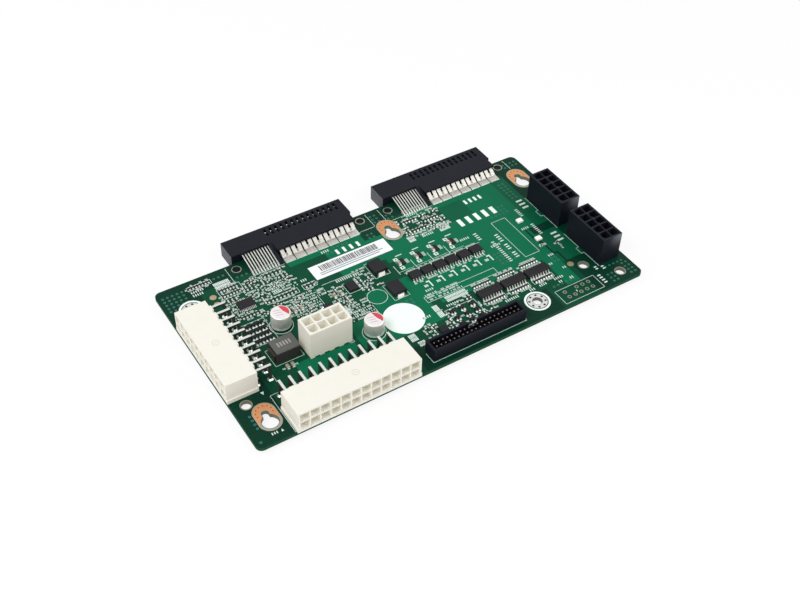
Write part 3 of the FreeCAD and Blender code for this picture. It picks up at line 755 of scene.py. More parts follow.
hole_plating.piece("hole_plating", HOLE_WALL, "copper")
lands.piece("screw_hole_lands", SOLDER, "solder")
white_rings.piece("screw_hole_rings", BOLD_INK)
rims.piece("hole_rims", RIM_METAL)
# The plated holes are dark discs of painted shade.
vias.piece("land_vias", HOLE_AND_GAP_SHADE)
tan_pads.piece("test_pads", TEST_COPPER, "copper")

# %% [markdown]
# Rows of plated holes stitch the copper layers together. Each shows as a small paler ring with a
# dark middle under the mask. They follow plain grids, so a few rectangles give them all: the first
# hole's place, and how many holes across and back.

# %% Stitching holes
VIA_PITCH, VIA_INNER, VIA_OUTER, VIA_RING_TOP, VIA_HOLE_TOP = 2.05, 0.26, 0.55, 0.012, 0.008
VIA_GRIDS = [
    (2.1, 78, 5, 5), (24.4, 86.5, 3, 1), (33, 82.6, 3, 1), (4.2, 8.8, 1, 4), (2.3, 2.6, 1, 1),
    (98.2, 83, 2, 3), (91.2, 75.6, 2, 2), (104.6, 82.4, 2, 2), (139.5, 12, 6, 1), (165, 10.4, 5, 1),
    (58, 20.4, 3, 2), (143, 60, 5, 3), (71, 76, 6, 2), (56, 57.8, 2, 2), (130, 34, 4, 4), (149, 24, 2, 3),
    (80, 33.8, 4, 2), (158.4, 66, 2, 6), (168.2, 84.9, 4, 2), (172, 65.4, 2, 1), (162.8, 2.2, 2, 3),
    (172.2, 2.6, 2, 4)]
stitch_rings, stitch_holes = MeshBook(), MeshBook()
for left, front, columns, rows in VIA_GRIDS:
    for row in range(rows):
        for column in range(columns):
            x, y = left + column * VIA_PITCH, front + row * VIA_PITCH
            stitch_rings.ring(x, y, VIA_INNER, VIA_OUTER, PRINT_LOW, VIA_RING_TOP, count=14)
            stitch_holes.disc(x, y, VIA_INNER, PRINT_LOW, VIA_HOLE_TOP, count=10)
stitch_rings.piece("stitching_rings", PALE_GREEN_INK)
# The dark middles are painted shade of the holes.
stitch_holes.piece("stitching_holes", HOLE_AND_GAP_SHADE)

# %% [markdown]
# White print guides assembly: outlines round parts, fields to write in and short groups of marks.
# Strokes are thin solid strips just above the mask. Where the real board carries words, this one
# has plain marks only. The outlines and lines come first.

# %% Printed outlines and lines
ink, bold_ink = MeshBook(), MeshBook()
LINE_WIDTH = 0.18


def stroke(x0, y0, x1, y1, width=LINE_WIDTH, book=ink):
    book.strip(x0, y0, x1, y1, width)


def path(*places):
    for start, end in zip(places, places[1:]):
        stroke(*start, *end)


def frame_outline(left, right, front, rear):
    path((left, front), (right, front), (right, rear), (left, rear), (left, front))


OUTLINES = [
    (137.7, 157.2, 1.5, 9.3), (140.4, 147.6, 32.3, 57), (91, 125, 30.5, 33.8), (12.7, 22.9, 84.9, 87.3),
    (36.2, 50.6, 62.2, 65), (52.8, 58.7, 62.2, 65), (110, 120, 17.1, 19.6), (121.8, 131.8, 17.1, 19.6),
    (133.6, 143.6, 17.1, 19.6), (66.9, 72.3, 50.9, 57.1), (80.4, 87.4, 38.3, 48), (80.4, 87.4, 53, 62.6),
    (23.6, 35.6, 31.5, 40.6), (22.4, 32.2, 73.8, 80), (41.4, 50.2, 75.8, 79)]
for outline in OUTLINES:
    frame_outline(*outline)
STROKES = [
    (88.3, 80.8, 96.6, 80.8), (105.4, 80.4, 115.2, 80.4), (92, 49.7, 129, 49.7), (30.8, 80.5, 30.8, 89.6),
    (97, 81, 97, 89.6), (103.2, 81, 103.2, 89.6), (37, 79.9, 53, 79.9), (109.5, 79.9, 125.5, 79.9),
    (20.4, 24, 20.4, 68.6), (44.1, 58.8, 59.2, 58.8), (59.7, 60.9, 76.6, 60.9), (55.5, 50.8, 55.5, 57.1),
    (71.4, 34.3, 71.4, 41), (40.9, 51.3, 47.2, 51.3), (45.4, 51.3, 45.4, 57.5), (170, 83.4, 170, 89.8)]
for line in STROKES:
    stroke(*line)
path((75.1, 8.2), (75.1, 2.6), (118.7, 2.6), (118.7, 5))
path((15, 0.4), (15, 20), (68, 20))
path((53.6, 27.5), (55.3, 27.5), (55.3, 38.3))
HEADER_LINE, LATCH_LINE = 163.1, 161.7
for start, latch, latch_end, end in ((12.4, 22, 25.8, 35.6), (40.2, 49.8, 53.6, 63.2)):
    path((HEADER_LINE, start), (HEADER_LINE, latch), (LATCH_LINE, latch), (LATCH_LINE, latch_end),
         (HEADER_LINE, latch_end), (HEADER_LINE, end))
BLOCK_ROOM = 1.3
for name in ("left_transistors", "middle_transistors"):
    low, high = board_box(name)
    frame_outline(low.x - BLOCK_ROOM, high.x + BLOCK_ROOM, low.y - BLOCK_ROOM, high.y + BLOCK_ROOM)
print("printed lines:", len(ink.faces) // 6)

# %% [markdown]
# A group of marks is a row of bars: the first bar's place, their count and height, and for the
# bolder ones the step from bar to bar and a bar's width. Fields are rows of bars that almost touch,
# with a line through them. Some rows run back from the front edge instead of across.

# %% Printed fields and marks
FIELDS = [
    (22.6, 29.6, 80.3, 84), (90.6, 93.6, 21, 28), (98, 108.5, 26.8, 30), (104.3, 107.6, 64.3, 67.7),
    (119.3, 124.7, 63.6, 68), (74, 77.2, 15.6, 19.4), (75.5, 78.7, 12, 14.6)]
FIELD_STEP, FIELD_BAR, FIELD_LINE = 0.62, 0.48, 0.3
MARK_STEP, MARK_WIDTH = 0.95, 0.42
MARK_GROUPS = [
    (2.2, 71, 4, 1.6), (13.4, 81, 5, 1.3), (13.4, 83, 6, 1.1), (41.8, 66.2, 5, 1.4), (41.8, 68.6, 6, 1.4),
    (42, 71, 4, 1.2), (54, 66.6, 3, 1.4), (66, 59, 8, 1.6), (60.6, 38.2, 8, 0.9), (60.6, 40.4, 8, 0.9),
    (118, 14.6, 7, 1.3), (130, 14.6, 3, 1.3), (135, 14.8, 4, 1.2), (142.4, 14.8, 5, 1.2),
    (96.4, 24.6, 7, 1.1), (111, 64.4, 6, 1.3), (112, 78.8, 6, 0.9), (69.4, 77.2, 4, 1.4), (123, 54, 5, 1.2),
    (7.5, 3.3, 3, 1.1), (104.6, 71, 2, 1.1), (146.2, 23, 2, 1.2), (148.6, 12.2, 2, 1.4),
    (143.2, 12.6, 2, 1.2), (149.8, 18.6, 2, 1.1), (146, 5, 1, 1), (149.2, 27.4, 3, 1.2), (57, 16.4, 5, 1.2),
    (84.6, 23.6, 4, 1.2), (94, 36, 4, 1.1), (132, 44, 5, 1.2), (149.6, 46.4, 4, 1.2), (149.6, 34, 4, 1.2),
    (73.8, 58.6, 3, 1.3)]
BOLD_GROUPS = [(75.2, 73.6, 4, 3, 3.3, 1.2), (139, 73, 4, 2.6, 2.5, 1.1), (129.5, 61.6, 5, 4.6, 4.2, 1.9)]
RUNNING_BACK = [
    (158.2, 58.2, 3, 3, 2.4, 1), (158.2, 33.6, 3, 3, 2.4, 1), (154.2, 54.4, 5, 1.4, 1.1, 0.5),
    (154.4, 41, 7, 1.4, 1.1, 0.5), (137, 34.4, 3, 1.7, 1.4, 0.6), (137, 40, 3, 1.7, 1.4, 0.6),
    (137, 45.6, 4, 1.7, 1.4, 0.6), (133.2, 33.6, 12, 1.5, 1.2, 0.5), (129.6, 51, 4, 1.6, 1.3, 0.55),
    (158.6, 3.4, 4, 1.5, 1.5, 0.7), (160.6, 11.4, 2, 1.2, 1.2, 0.6), (163.4, 10.2, 2, 1.3, 1.3, 0.6)]


def field(left, right, front, rear):
    ink.block((left, front, PRINT_LOW), (right, rear, PRINT_HIGH))


def bars(x, y, count, height, step=MARK_STEP, width=MARK_WIDTH, book=ink):
    for i in range(count):
        stroke(x + i * step, y, x + i * step, y + height, width, book)


for left, right, front, rear in FIELDS:
    for i in range(int((right - left) / FIELD_STEP)):
        x = left + i * FIELD_STEP
        field(x, x + FIELD_BAR, front, rear)
    stroke(left, (front + rear) / 2, right, (front + rear) / 2, FIELD_LINE)
for group in MARK_GROUPS:
    bars(*group)
for group in BOLD_GROUPS:
    bars(*group, bold_ink)
for x, y, count, height, step, width in RUNNING_BACK:
    for i in range(count):
        stroke(x, y + i * step, x + height, y + i * step, width)
print("groups of marks:", len(MARK_GROUPS) + len(BOLD_GROUPS) + len(RUNNING_BACK))

# %% [markdown]
# The row of driver chips repeats the same small circuit. In front of each chip stand a corner mark
# and three bars. Behind it the chip's capacitor has a regular group about it: two square lands with
# a hole, a black body, a comb of thin bars and a few lines. All of it is placed from the chip or
# from its capacitor.

# %% Print and small groups about the driver chips
TICK_LEFT, TICK_STEM, TICK_RIGHT = 1.9, 3, 3.6
TICK_FRONT, TICK_BAR, TICK_REAR = 37.6, 40.6, 41.3
TICK_LINE, TICK_BARS = (43.4, 49.2, 0.3), (0.3, 38.4, 3, 1.3, 0.6)
for x, _ in centres("driver_chip_bodies"):
    field(x + TICK_LEFT, x + TICK_RIGHT, TICK_BAR, TICK_REAR)
    field(x + TICK_STEM, x + TICK_RIGHT, TICK_FRONT, TICK_BAR)
    stroke(x + TICK_STEM, TICK_LINE[0], x + TICK_STEM, *TICK_LINE[1:])
    bars(x + TICK_BARS[0], *TICK_BARS[1:])
group_dots, group_bodies = MeshBook(), MeshBook()
GROUP_LEFT, GROUP_RIGHT, GROUP_FRONT, GROUP_REAR = 90, 122, 50, 60
GROUP_LANDS, LAND_ACROSS, LAND_LONG, DOT_RADIUS = (53, 58.5), 1.9, 1.7, 0.36
COMB_BARS, COMB_STEP, COMB_START, COMB_FRONT, COMB_LONG = 4, 0.44, 2.9, 54.4, 2.6
GROUP_STROKES = [(0.9, 60.3, 4, 60.3, 0.45), (-2.9, 50, -2.9, 55.6, 0.22), (-2.9, 51.2, 4.4, 51.2, 0.14)]
BODY_LEFT, BODY_RIGHT, BODY_FRONT, BODY_REAR, BODY_HIGH, BODY_EASE = 1.2, 2.7, 54.2, 57.8, 0.5, 0.05
for low, high in loose_boxes("bypass_capacitors"):
    if not (GROUP_LEFT < low.x < GROUP_RIGHT and GROUP_FRONT < low.y < GROUP_REAR):
        continue
    x = centre(low, high)[0]
    for y in GROUP_LANDS:
        field(*about(x, LAND_ACROSS), *about(y, LAND_LONG))
        group_dots.disc(x, y, DOT_RADIUS, PRINT_LOW, PRINT_HIGH + LAP)
    bars(x + COMB_START, COMB_FRONT, COMB_BARS, COMB_LONG, COMB_STEP, COMB_STEP / 2)
    group_bodies.block((x + BODY_LEFT, BODY_FRONT, PRINT_LOW),
                       (x + BODY_RIGHT, BODY_REAR, BODY_HIGH), BODY_EASE)
    for start, front, end, rear, width in GROUP_STROKES:
        stroke(x + start, front, x + end, rear, width)
# The dots are painted shade of the holes in the lands.
group_dots.piece("driver_group_dots", HOLE_AND_GAP_SHADE)
group_bodies.piece("driver_group_bodies", CHIP_BLACK, "chip_black")

# %% [markdown]
# Round shapes finish the print: rings for the cans, two discs and two arrow heads.

# %% Printed rings, discs and arrows
CAPACITORS = {"left_capacitor": (35.5, 49.6), "right_capacitor": (64.3, 27.9)}
CAN_RING, BARE_RING = (4.5, 4.75), (75.5, 43.9, 4, 4.2)
LARGE_DISC, SMALL_DISC = (78.1, 28.3, 8.4), (60.3, 43, 2.6)
ARROWS = [[(12.6, 23.2), (13.3, 21.6), (14, 23.2)], [(11.9, 3.2), (11.4, 4.5), (10.9, 3.2)]]
for place in [BARE_RING] + [(*place, *CAN_RING) for place in CAPACITORS.values()]:
    ink.ring(*place, count=48)
bold_ink.disc(*LARGE_DISC, count=64)
ink.disc(*SMALL_DISC, count=32)
for arrow in ARROWS:
    ink.prism(arrow)
ink.piece("white_print", WHITE_INK)
bold_ink.piece("bold_print", BOLD_INK)

# %% [markdown]
# One place on the board is left for a header that was never fitted. Its plated holes show as
# bright rings with dark middles, in two rows at 3 mm pitch with one hole left out as a key.

# %% Empty header footprint
EMPTY_COLUMNS = [141.25, 144.25, 147.25, 150.25, 153.25]
EMPTY_ROWS = [(4.2, EMPTY_COLUMNS), (7.3, EMPTY_COLUMNS[:1] + EMPTY_COLUMNS[2:])]
EMPTY_INNER, EMPTY_OUTER, EMPTY_HOLE_TOP = 0.55, 0.85, 0.015
empty_rings, empty_holes = MeshBook(), MeshBook()
for y, columns in EMPTY_ROWS:
    for x in columns:
        empty_rings.ring(x, y, EMPTY_INNER, EMPTY_OUTER, PRINT_LOW, PAD_HIGH, count=24)
        empty_holes.disc(x, y, EMPTY_INNER, PRINT_LOW, EMPTY_HOLE_TOP, count=18)
empty_rings.piece("empty_footprint_rings", RIM_METAL, "solder")
# The dark middles are painted shade of the open holes.
empty_holes.piece("empty_footprint_holes", HOLE_AND_GAP_SHADE)

# %% [markdown]
# A chip resistor is a black glazed tile with tinned ends, soldered to two small lands. The CAD
# gives the tile. The ends are thin caps that just cover it, and the solder is a low block with its
# top drawn in, so it catches the light as a fillet does.

# %% Chip ends and their solder
END_LENGTH, CAP_COVER, CAP_EASE = 0.34, 0.02, 0.04
FILLET_REACH, FILLET_SIDE, FILLET_SHARE, FILLET_TOP, FILLET_EASE = 0.32, 0.05, 0.6, 0.3, 0.16
CHIP_NODES = ["left_resistors", "supply_resistors", "rear_resistors", "bypass_capacitors"]
chip_ends, chip_solder = MeshBook(), MeshBook()


def dress_chip(low, high, upright=True):
    """Two caps and two solder fillets for one chip."""
    axis = 1 if upright else 0
    cover = Vector((CAP_COVER, CAP_COVER, 0))
    rise = min(FILLET_SHARE * (high.z - low.z), FILLET_TOP)
    for front, rear, before, behind in ((low[axis], low[axis] + END_LENGTH, FILLET_REACH, 0),
                                        (high[axis] - END_LENGTH, high[axis], 0, FILLET_REACH)):
        near, far = Vector(low), Vector(high)
        near[axis], far[axis] = front, rear
        chip_ends.block(near - cover, far + cover + Vector((0, 0, CAP_COVER)), CAP_EASE)
        near[axis], far[axis] = front - before, rear + behind
        chip_solder.block((near.x - FILLET_SIDE, near.y - FILLET_SIDE, PRINT_LOW),
                          (far.x + FILLET_SIDE, far.y + FILLET_SIDE, rise), FILLET_EASE)


for name in CHIP_NODES:
    for low, high in loose_boxes(name):
        dress_chip(low, high)
print("dressed chips:", len(chip_ends.faces) // 12)

# %% [markdown]
# Real boards are busier than a CAD model needs. The dense patches get more chips of the smallest
# sizes here, after two regular rows at each of the longer chips. Each candidate place is tried
# against everything that already stands on the board, and only free places are used. The random
# choice is seeded, so every run gives the same board.

# %% More small chips in the dense patches
random.seed(24)
LOW_ENOUGH = 1.5
ROW_CHIPS, ROW_STEP, ROW_LONG, ROW_ACROSS, ROW_HIGH, ROW_PLACES = 7, 1.27, 1.6, 0.8, 0.45, (-4.4, 5.6)
SMALL_LONG, SMALL_ACROSS, SMALL_HIGH, SMALL_EASE = 1.3, 0.7, 0.42, 0.03
STEP_ACROSS, STEP_BACK, END_ROOM, CHIP_ROOM = 1.75, 2.15, 0.3, 0.35
UPRIGHT_SHARE, TAN_SHARE = 0.7, 0.35
PATCHES = [
    (31.5, 70, 51.5, 80, 0.62), (22, 64, 40, 73.2, 0.62), (106, 66.5, 126, 79, 0.62),
    (59.5, 45.5, 66.5, 57.5, 0.7), (72.8, 49.5, 80, 57.5, 0.62), (81, 12.5, 94, 19, 0.6),
    (31, 57.6, 51, 61.4, 0.6), (41, 50, 53, 57, 0.5), (100, 24.8, 109.5, 26.4, 0.5),
    (107.6, 12.6, 116, 16, 0.6), (22, 58.6, 31, 63.4, 0.4), (94, 12.6, 110, 24.6, 0.3),
    (148.6, 30.6, 158, 36.6, 0.25)]
occupied = []
for name in nodes:
    if name != "circuit_board" and not name.endswith("solder"):
        occupied += [pair for pair in loose_boxes(name) if pair[0].z < LOW_ENOUGH]
small_bodies, small_tan = MeshBook(), MeshBook()


def small_chip(book, x, y, across, long, tall, upright=True):
    low = Vector((x - across / 2, y - long / 2, 0))
    high = Vector((x + across / 2, y + long / 2, tall))
    book.block(low + Vector((0, 0, PRINT_LOW)), high, SMALL_EASE)
    dress_chip(low, high, upright)
    occupied.append((low, high))


def is_free(left, right, front, rear, room=CHIP_ROOM):
    return all(high.x < left - room or low.x > right + room or high.y < front - room or low.y > rear + room
               for low, high in occupied)


for x, y in centres("logic_chip_bodies"):
    for shift in ROW_PLACES:
        for i in range(ROW_CHIPS):
            place = x + (i - (ROW_CHIPS - 1) / 2) * ROW_STEP
            small_chip(small_bodies, place, y + shift, ROW_ACROSS, ROW_LONG, ROW_HIGH)
for left, front, right, rear, share in PATCHES:
    y = front
    while y < rear:
        x = left
        while x < right:
            upright = random.random() < UPRIGHT_SHARE
            across, long = (SMALL_ACROSS, SMALL_LONG) if upright else (SMALL_LONG, SMALL_ACROSS)
            keep = random.random() < share
            front_end, rear_end = y - long / 2 - END_ROOM, y + long / 2 + END_ROOM
            if keep and is_free(*about(x, across), front_end, rear_end):
                book = small_tan if random.random() < TAN_SHARE else small_bodies
                small_chip(book, x, y, across, long, SMALL_HIGH, upright)
            x += STEP_ACROSS
        y += STEP_BACK
small_bodies.piece("small_resistor_bodies", RESISTOR_BLACK, "resistor_ceramic")
small_tan.piece("small_capacitor_bodies", CERAMIC_TAN, "capacitor_ceramic")
chip_ends.piece("chip_ends", SOLDER, "tinned_metal")
chip_solder.piece("chip_solder", SOLDER, "solder")

# %% [markdown]
# Boards have a number printed by each small chip. Here two to four thin bars stand for it, on the
# first side that has room. A few blocks of finer bars fill what is still free in the dense corners.

# %% Marks beside the chips
part_marks = MeshBook()
BAR_WIDTH, BAR_STEP, BAR_HEIGHT, BAR_ROOM = 0.22, 0.42, 0.9, 0.08
BEHIND, BESIDE = 0.45, 0.4
MARKED_HIGH, MARKED_ACROSS = 1.2, 2.2
TEXT_BLOCKS = [
    (43, 55, 45.6, 62), (56.2, 60, 56, 61), (92, 108, 31, 35.6), (60, 71.5, 36.4, 47), (32, 52, 66, 74),
    (59.4, 66.4, 45.6, 57.4), (73, 80, 58, 63), (22.2, 31, 64, 72), (95, 109, 13, 17), (108, 124, 66, 69)]
LINE_STEP, LETTER_STEP, LETTER_WIDTH, LETTER_ROOM, LETTER_SHARE = 1.45, 0.5, 0.27, 0.12, 0.72


def thin_bar(x, y, width):
    part_marks.block((x, y, PRINT_LOW), (x + width, y + BAR_HEIGHT, PRINT_HIGH))


def mark_beside(low, high):
    """Two to four thin bars behind, before or beside a chip, on the first side with room for them."""
    count = random.choice((2, 3, 3, 4))
    wide = (count - 1) * BAR_STEP + BAR_WIDTH
    middle_x, middle_y = centre(low, high)
    sides = [(middle_x - wide / 2, high.y + BEHIND), (middle_x - wide / 2, low.y - BEHIND - BAR_HEIGHT),
             (high.x + BESIDE, middle_y - BAR_HEIGHT / 2), (low.x - BESIDE - wide, middle_y - BAR_HEIGHT / 2)]
    random.shuffle(sides)
    for x, y in sides:
        if is_free(x, x + wide, y, y + BAR_HEIGHT, BAR_ROOM):
            for i in range(count):
                thin_bar(x + i * BAR_STEP, y, BAR_WIDTH)
            occupied.append((Vector((x, y, 0)), Vector((x + wide, y + BAR_HEIGHT, PRINT_HIGH))))
            return


for low, high in [pair for pair in occupied
                  if pair[1].z < MARKED_HIGH and pair[1].x - pair[0].x < MARKED_ACROSS]:
    mark_beside(low, high)
for left, right, front, rear in TEXT_BLOCKS:
    for row in range(int((rear - front) / LINE_STEP)):
        y = front + row * LINE_STEP
        for column in range(int((right - left) / LETTER_STEP)):
            x = left + column * LETTER_STEP
            drawn = random.random() < LETTER_SHARE
            if drawn and is_free(x, x + LETTER_WIDTH, y, y + BAR_HEIGHT, LETTER_ROOM):
                thin_bar(x, y, LETTER_WIDTH)
part_marks.piece("part_marks", WHITE_INK)

# %% [markdown]
# Every lead foot stands on a tinned land that is a little larger than the foot. The chip leads are
# drawn again here as formed strips with a shoulder, a slope and a flat foot, each inside the box of
# its CAD lead. The finest leads, on the transistors and the fine-pitch chip, are made only here.

# %% Formed leads
lead_lands, fine_leads, wet_solder = MeshBook(), MeshBook(), MeshBook()
LAND_MARGIN, LAND_EASE, TOE_ROOM, HEEL_ROOM = 0.12, 0.02, 0.35, 0.8
LEAD_THICK = 0.18
SHOULDER, HEEL, INNER_HEEL, INNER_SHOULDER = 0.28, 0.56, 0.42, 0.14
MONITOR_LEADS, MONITOR_PITCH, MONITOR_LEAD, MONITOR_REACH = 10, 0.65, 0.26, 1
MONITOR_LAND, MONITOR_ROOM, MONITOR_LEAVES = 0.34, 0.15, 0.6
SIDE_SPACING, SIDE_LEAD, SIDE_REACH = 0.65, 0.45, 0.62
SIDE_LAND, SIDE_LEAVES, SIDE_ROOM = 0.9, 0.55, (0.2, 0.1)
SOLDER_DROP = [(0.5, 0.03), (0.46, 0.16), (0.3, 0.28), (0.1, 0.32)]


def land(left, right, front, rear):
    lead_lands.block((left, front, PRINT_LOW), (right, rear, PAD_HIGH), LAND_EASE)


def bent_lead(wall, toe, top):
    """Outline of a lead that leaves a chip's wall, bends down and ends in a flat foot."""
    reach = toe - wall
    low = PAD_HIGH - LAP
    high = low + LEAD_THICK
    return [(wall, top), (wall + reach * SHOULDER, top), (wall + reach * HEEL, high), (toe, high), (toe, low),
            (wall + reach * INNER_HEEL, low), (wall + reach * INNER_SHOULDER, top - LEAD_THICK),
            (wall, top - LEAD_THICK)]


for name in ("driver_chip", "logic_chip"):
    middle = centres(name + "_bodies")[0][1]
    leads = MeshBook()
    for low, high in loose_boxes(name + "_leads"):
        away = -1 if high.y < middle else 1
        wall, toe = (high.y, low.y) if away < 0 else (low.y, high.y)
        leads.ribbon(bent_lead(wall, toe, high.z), low.x, high.x)
        front, rear = sorted((toe + away * TOE_ROOM, toe - away * HEEL_ROOM))
        land(low.x - LAND_MARGIN, high.x + LAND_MARGIN, front, rear)
    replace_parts(leads.piece(name + "_bent_leads", TIN, "tinned_metal"), name + "_leads")
for low, high in loose_boxes("monitor_chip"):
    for i in range(MONITOR_LEADS):
        x = centre(low, high)[0] + (i - (MONITOR_LEADS - 1) / 2) * MONITOR_PITCH
        for wall, toe in ((low.y, low.y - MONITOR_REACH), (high.y, high.y + MONITOR_REACH)):
            fine_leads.ribbon(bent_lead(wall, toe, high.z * MONITOR_LEAVES), *about(x, MONITOR_LEAD))
            front, rear = sorted((toe, (toe + wall) / 2))
            land(*about(x, MONITOR_LAND), front - MONITOR_ROOM, rear + MONITOR_ROOM)
for name in ("left_transistors", "middle_transistors"):
    for low, high in loose_boxes(name):
        middle = centre(low, high)[0]
        for x, wall, toe in ((middle - SIDE_SPACING, low.y, low.y - SIDE_REACH),
                             (middle + SIDE_SPACING, low.y, low.y - SIDE_REACH),
                             (middle, high.y, high.y + SIDE_REACH)):
            fine_leads.ribbon(bent_lead(wall, toe, high.z * SIDE_LEAVES), *about(x, SIDE_LEAD))
            land(*about(x, SIDE_LAND), min(toe, wall) - SIDE_ROOM[0], max(toe, wall) + SIDE_ROOM[1])
            wet_solder.turned(x, toe, SOLDER_DROP, count=14)
wet_solder.piece("transistor_solder", WET_SOLDER, "solder", smooth=True)
fine_leads.piece("fine_leads", TIN, "tinned_metal")

# %% [markdown]
# The larger parts keep their CAD leads, so only the lands under them are added.

# %% Lands of the larger parts
DIODE_SIDE, DIODE_FRONT, DIODE_REAR = 0.5, 1.1, 0.4
LEFT_ZONE, CONTACT_ROOM, SIGNAL_FOOT, FOOT_ZONE = 1, 0.5, 2.6, 8
regulator_left = loose_boxes("regulator_chip_bodies")[0][0].x
for low, high in loose_boxes("regulator_chip_leads"):
    on_left = high.x < regulator_left + LEFT_ZONE
    left = low.x - TOE_ROOM if on_left else high.x - HEEL_ROOM
    land(left, left + TOE_ROOM + HEEL_ROOM, low.y - LAND_MARGIN, high.y + LAND_MARGIN)
for low, high in loose_boxes("surge_diode_leads"):
    land(low.x - DIODE_SIDE, high.x + DIODE_SIDE, low.y - DIODE_FRONT, high.y + DIODE_REAR)
for side in ("left", "right"):
    for low, high in loose_boxes(side + "_socket_signal_contacts"):
        land(low.x - LAND_MARGIN, high.x + LAND_MARGIN, low.y - CONTACT_ROOM, low.y + SIGNAL_FOOT)
    for low, high in loose_boxes(side + "_socket_power_contacts"):
        if low.y < BOARD_DEPTH - FOOT_ZONE:
            land(low.x - LAND_MARGIN, high.x + LAND_MARGIN, low.y - CONTACT_ROOM, high.y - CONTACT_ROOM)
lead_lands.piece("lead_lands", SOLDER, "solder")

# %% [markdown]
# Where a through-hole pin meets the board, solder wicks up into a small shining collar. On the
# upper face this shows at the bent pins. On the underside each pin ends in a full solder cone with
# hollow flanks and the pin's tip at its point. A turned profile gives both.

# %% Solder collars and cones
BENT_HEADERS = ["main_power_header", "side_power_header"]
UPRIGHT_HEADERS = ["upright_power_header", "front_black_header", "rear_black_header"]
COLLAR = [(1.25, PRINT_LOW), (1.2, 0.05), (0.85, 0.18), (0.7, 0.5)]
UNDERSIDE, CONE_LENGTH = -BOARD_THICKNESS, 1.5
REST = UNDERSIDE - CONE_LENGTH
CONE = [
    (0.42, REST), (0.55, REST + 0.12), (0.6, REST + 0.55), (0.72, REST + 0.95), (0.98, UNDERSIDE - 0.16),
    (1.3, UNDERSIDE - 0.04), (1.32, UNDERSIDE)]
collars = MeshBook()
for name in BENT_HEADERS + UPRIGHT_HEADERS:
    cones = MeshBook()
    for x, y in centres(name + "_solder"):
        cones.turned(x, y, CONE, count=20)
        if name in BENT_HEADERS:
            collars.turned(x, y, COLLAR, count=20)
    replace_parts(cones.piece(name + "_solder_cones", SOLDER, "solder", smooth=True), name + "_solder")
collars.piece("solder_collars", SOLDER, "solder", smooth=True)

# %% [markdown]
# Behind each lying header the moulding has a comb of short ribs that keep the bent pins apart. They
# fill the space between two pins at the rear wall, so they follow from the pins' own places. Each
# lying header also has a round mould mark on top, and the upright one stands on feet, with thin dark blocks
# of painted shade on its front for the gaps between them.

# %% Pin combs, mould marks and painted shade under the upright header
MAIN_RIB, SIDE_RIB, RIB_GAP, RIB_LOW = 0.35, 0.7, 0.75, 0.3
MARK_RISE, MARK_INNER, MARK_OUTER, MARK_BAR = 0.008, 1.15, 1.45, 0.6
MARK_PLACES = [(43.2, 6.4), (6.6, 45.6)]
GAP_WIDE, GAP_HIGH, GAP_PROUD, GAP_SINK = 2.1, 0.5, 0.012, 0.05
main_high, side_high = [board_box(side + "_power_header_housing")[1] for side in ("main", "side")]
upright_low = board_box("upright_power_header_housing")[0]
main_comb, side_comb, mould_marks, foot_gap_shades = [MeshBook() for _ in range(4)]
main_pins = sorted({round(x, 2) for x, _ in centres("main_power_header_pins")})
side_pins = sorted({round(y, 2) for _, y in centres("side_power_header_pins")})
for first, second in zip(main_pins, main_pins[1:]):
    main_comb.block((first + RIB_GAP, main_high.y, RIB_LOW),
                    (second - RIB_GAP, main_high.y + MAIN_RIB, main_high.z))
for first, second in zip(side_pins, side_pins[1:]):
    side_comb.block((side_high.x, first + RIB_GAP, RIB_LOW),
                    (side_high.x + SIDE_RIB, second - RIB_GAP, side_high.z))
for (x, y), top in zip(MARK_PLACES, (main_high.z, side_high.z)):
    mould_marks.ring(x, y, MARK_INNER, MARK_OUTER, top - LAP, top + MARK_RISE)
    mould_marks.strip(x - MARK_BAR, y, x + MARK_BAR, y, MARK_BAR / 2, top - LAP, top + MARK_RISE)
# Painted shade: thin dark blocks on the upright header's front, between its feet.
for x, _ in centres("upright_power_header_pins"):
    foot_gap_shades.block((x - GAP_WIDE / 2, upright_low.y - GAP_PROUD, PRINT_LOW),
                    (x + GAP_WIDE / 2, upright_low.y + GAP_SINK, GAP_HIGH))
mould_marks.piece("mould_marks", MOULD_MARK, "white_plastic")
foot_gap_shades.piece("upright_header_foot_gaps", HOLE_AND_GAP_SHADE, "white_plastic")
main_comb.piece("main_header_pin_comb", WHITE_PLASTIC, "white_plastic")
side_comb.piece("side_header_pin_comb", WHITE_PLASTIC, "white_plastic")

# %% [markdown]
# Through the slots in a socket's roof the upper springs of the card bay show. Each is a bent strip
# that starts at the bay's inner wall and bows down towards the card. Two broad fingers belong to
# each contact: one over its middle and one half a pitch to the left.

# %% Socket springs
BAY_DEPTH, FOOT_BEFORE, SPRING_WIDTH, SPRING_THICK = 8, 1, 2.2, 0.2
SPRING_BOW = [(0, 1.7), (4.2, 1), (6.4, 1.5)]
springs = MeshBook()
for side in ("left", "right"):
    wall = board_box(side + "_socket_housing")[1].y - BAY_DEPTH
    bow = [(wall + y, z) for y, z in SPRING_BOW]
    bow += [(y, z - SPRING_THICK) for y, z in reversed(bow)]
    middles = sorted(centre(low, high)[0] for low, high in loose_boxes(side + "_socket_power_contacts")
                     if low.y < wall - FOOT_BEFORE)
    half_pitch = (middles[1] - middles[0]) / 2
    for middle in middles:
        for x in (middle - half_pitch, middle):
            springs.ribbon(bow, *about(x, SPRING_WIDTH))
springs.piece("socket_springs", SPRING_METAL, "tinned_metal")

# %% [markdown]
# The capacitors are rolled aluminium cans. The rolled shoulder, the crimp near the base and the
# flat lid are one turned profile with more rings than the CAD has. The lid carries a thin printed
# red segment that marks the polarity, and three pale bars where a maker prints the value.

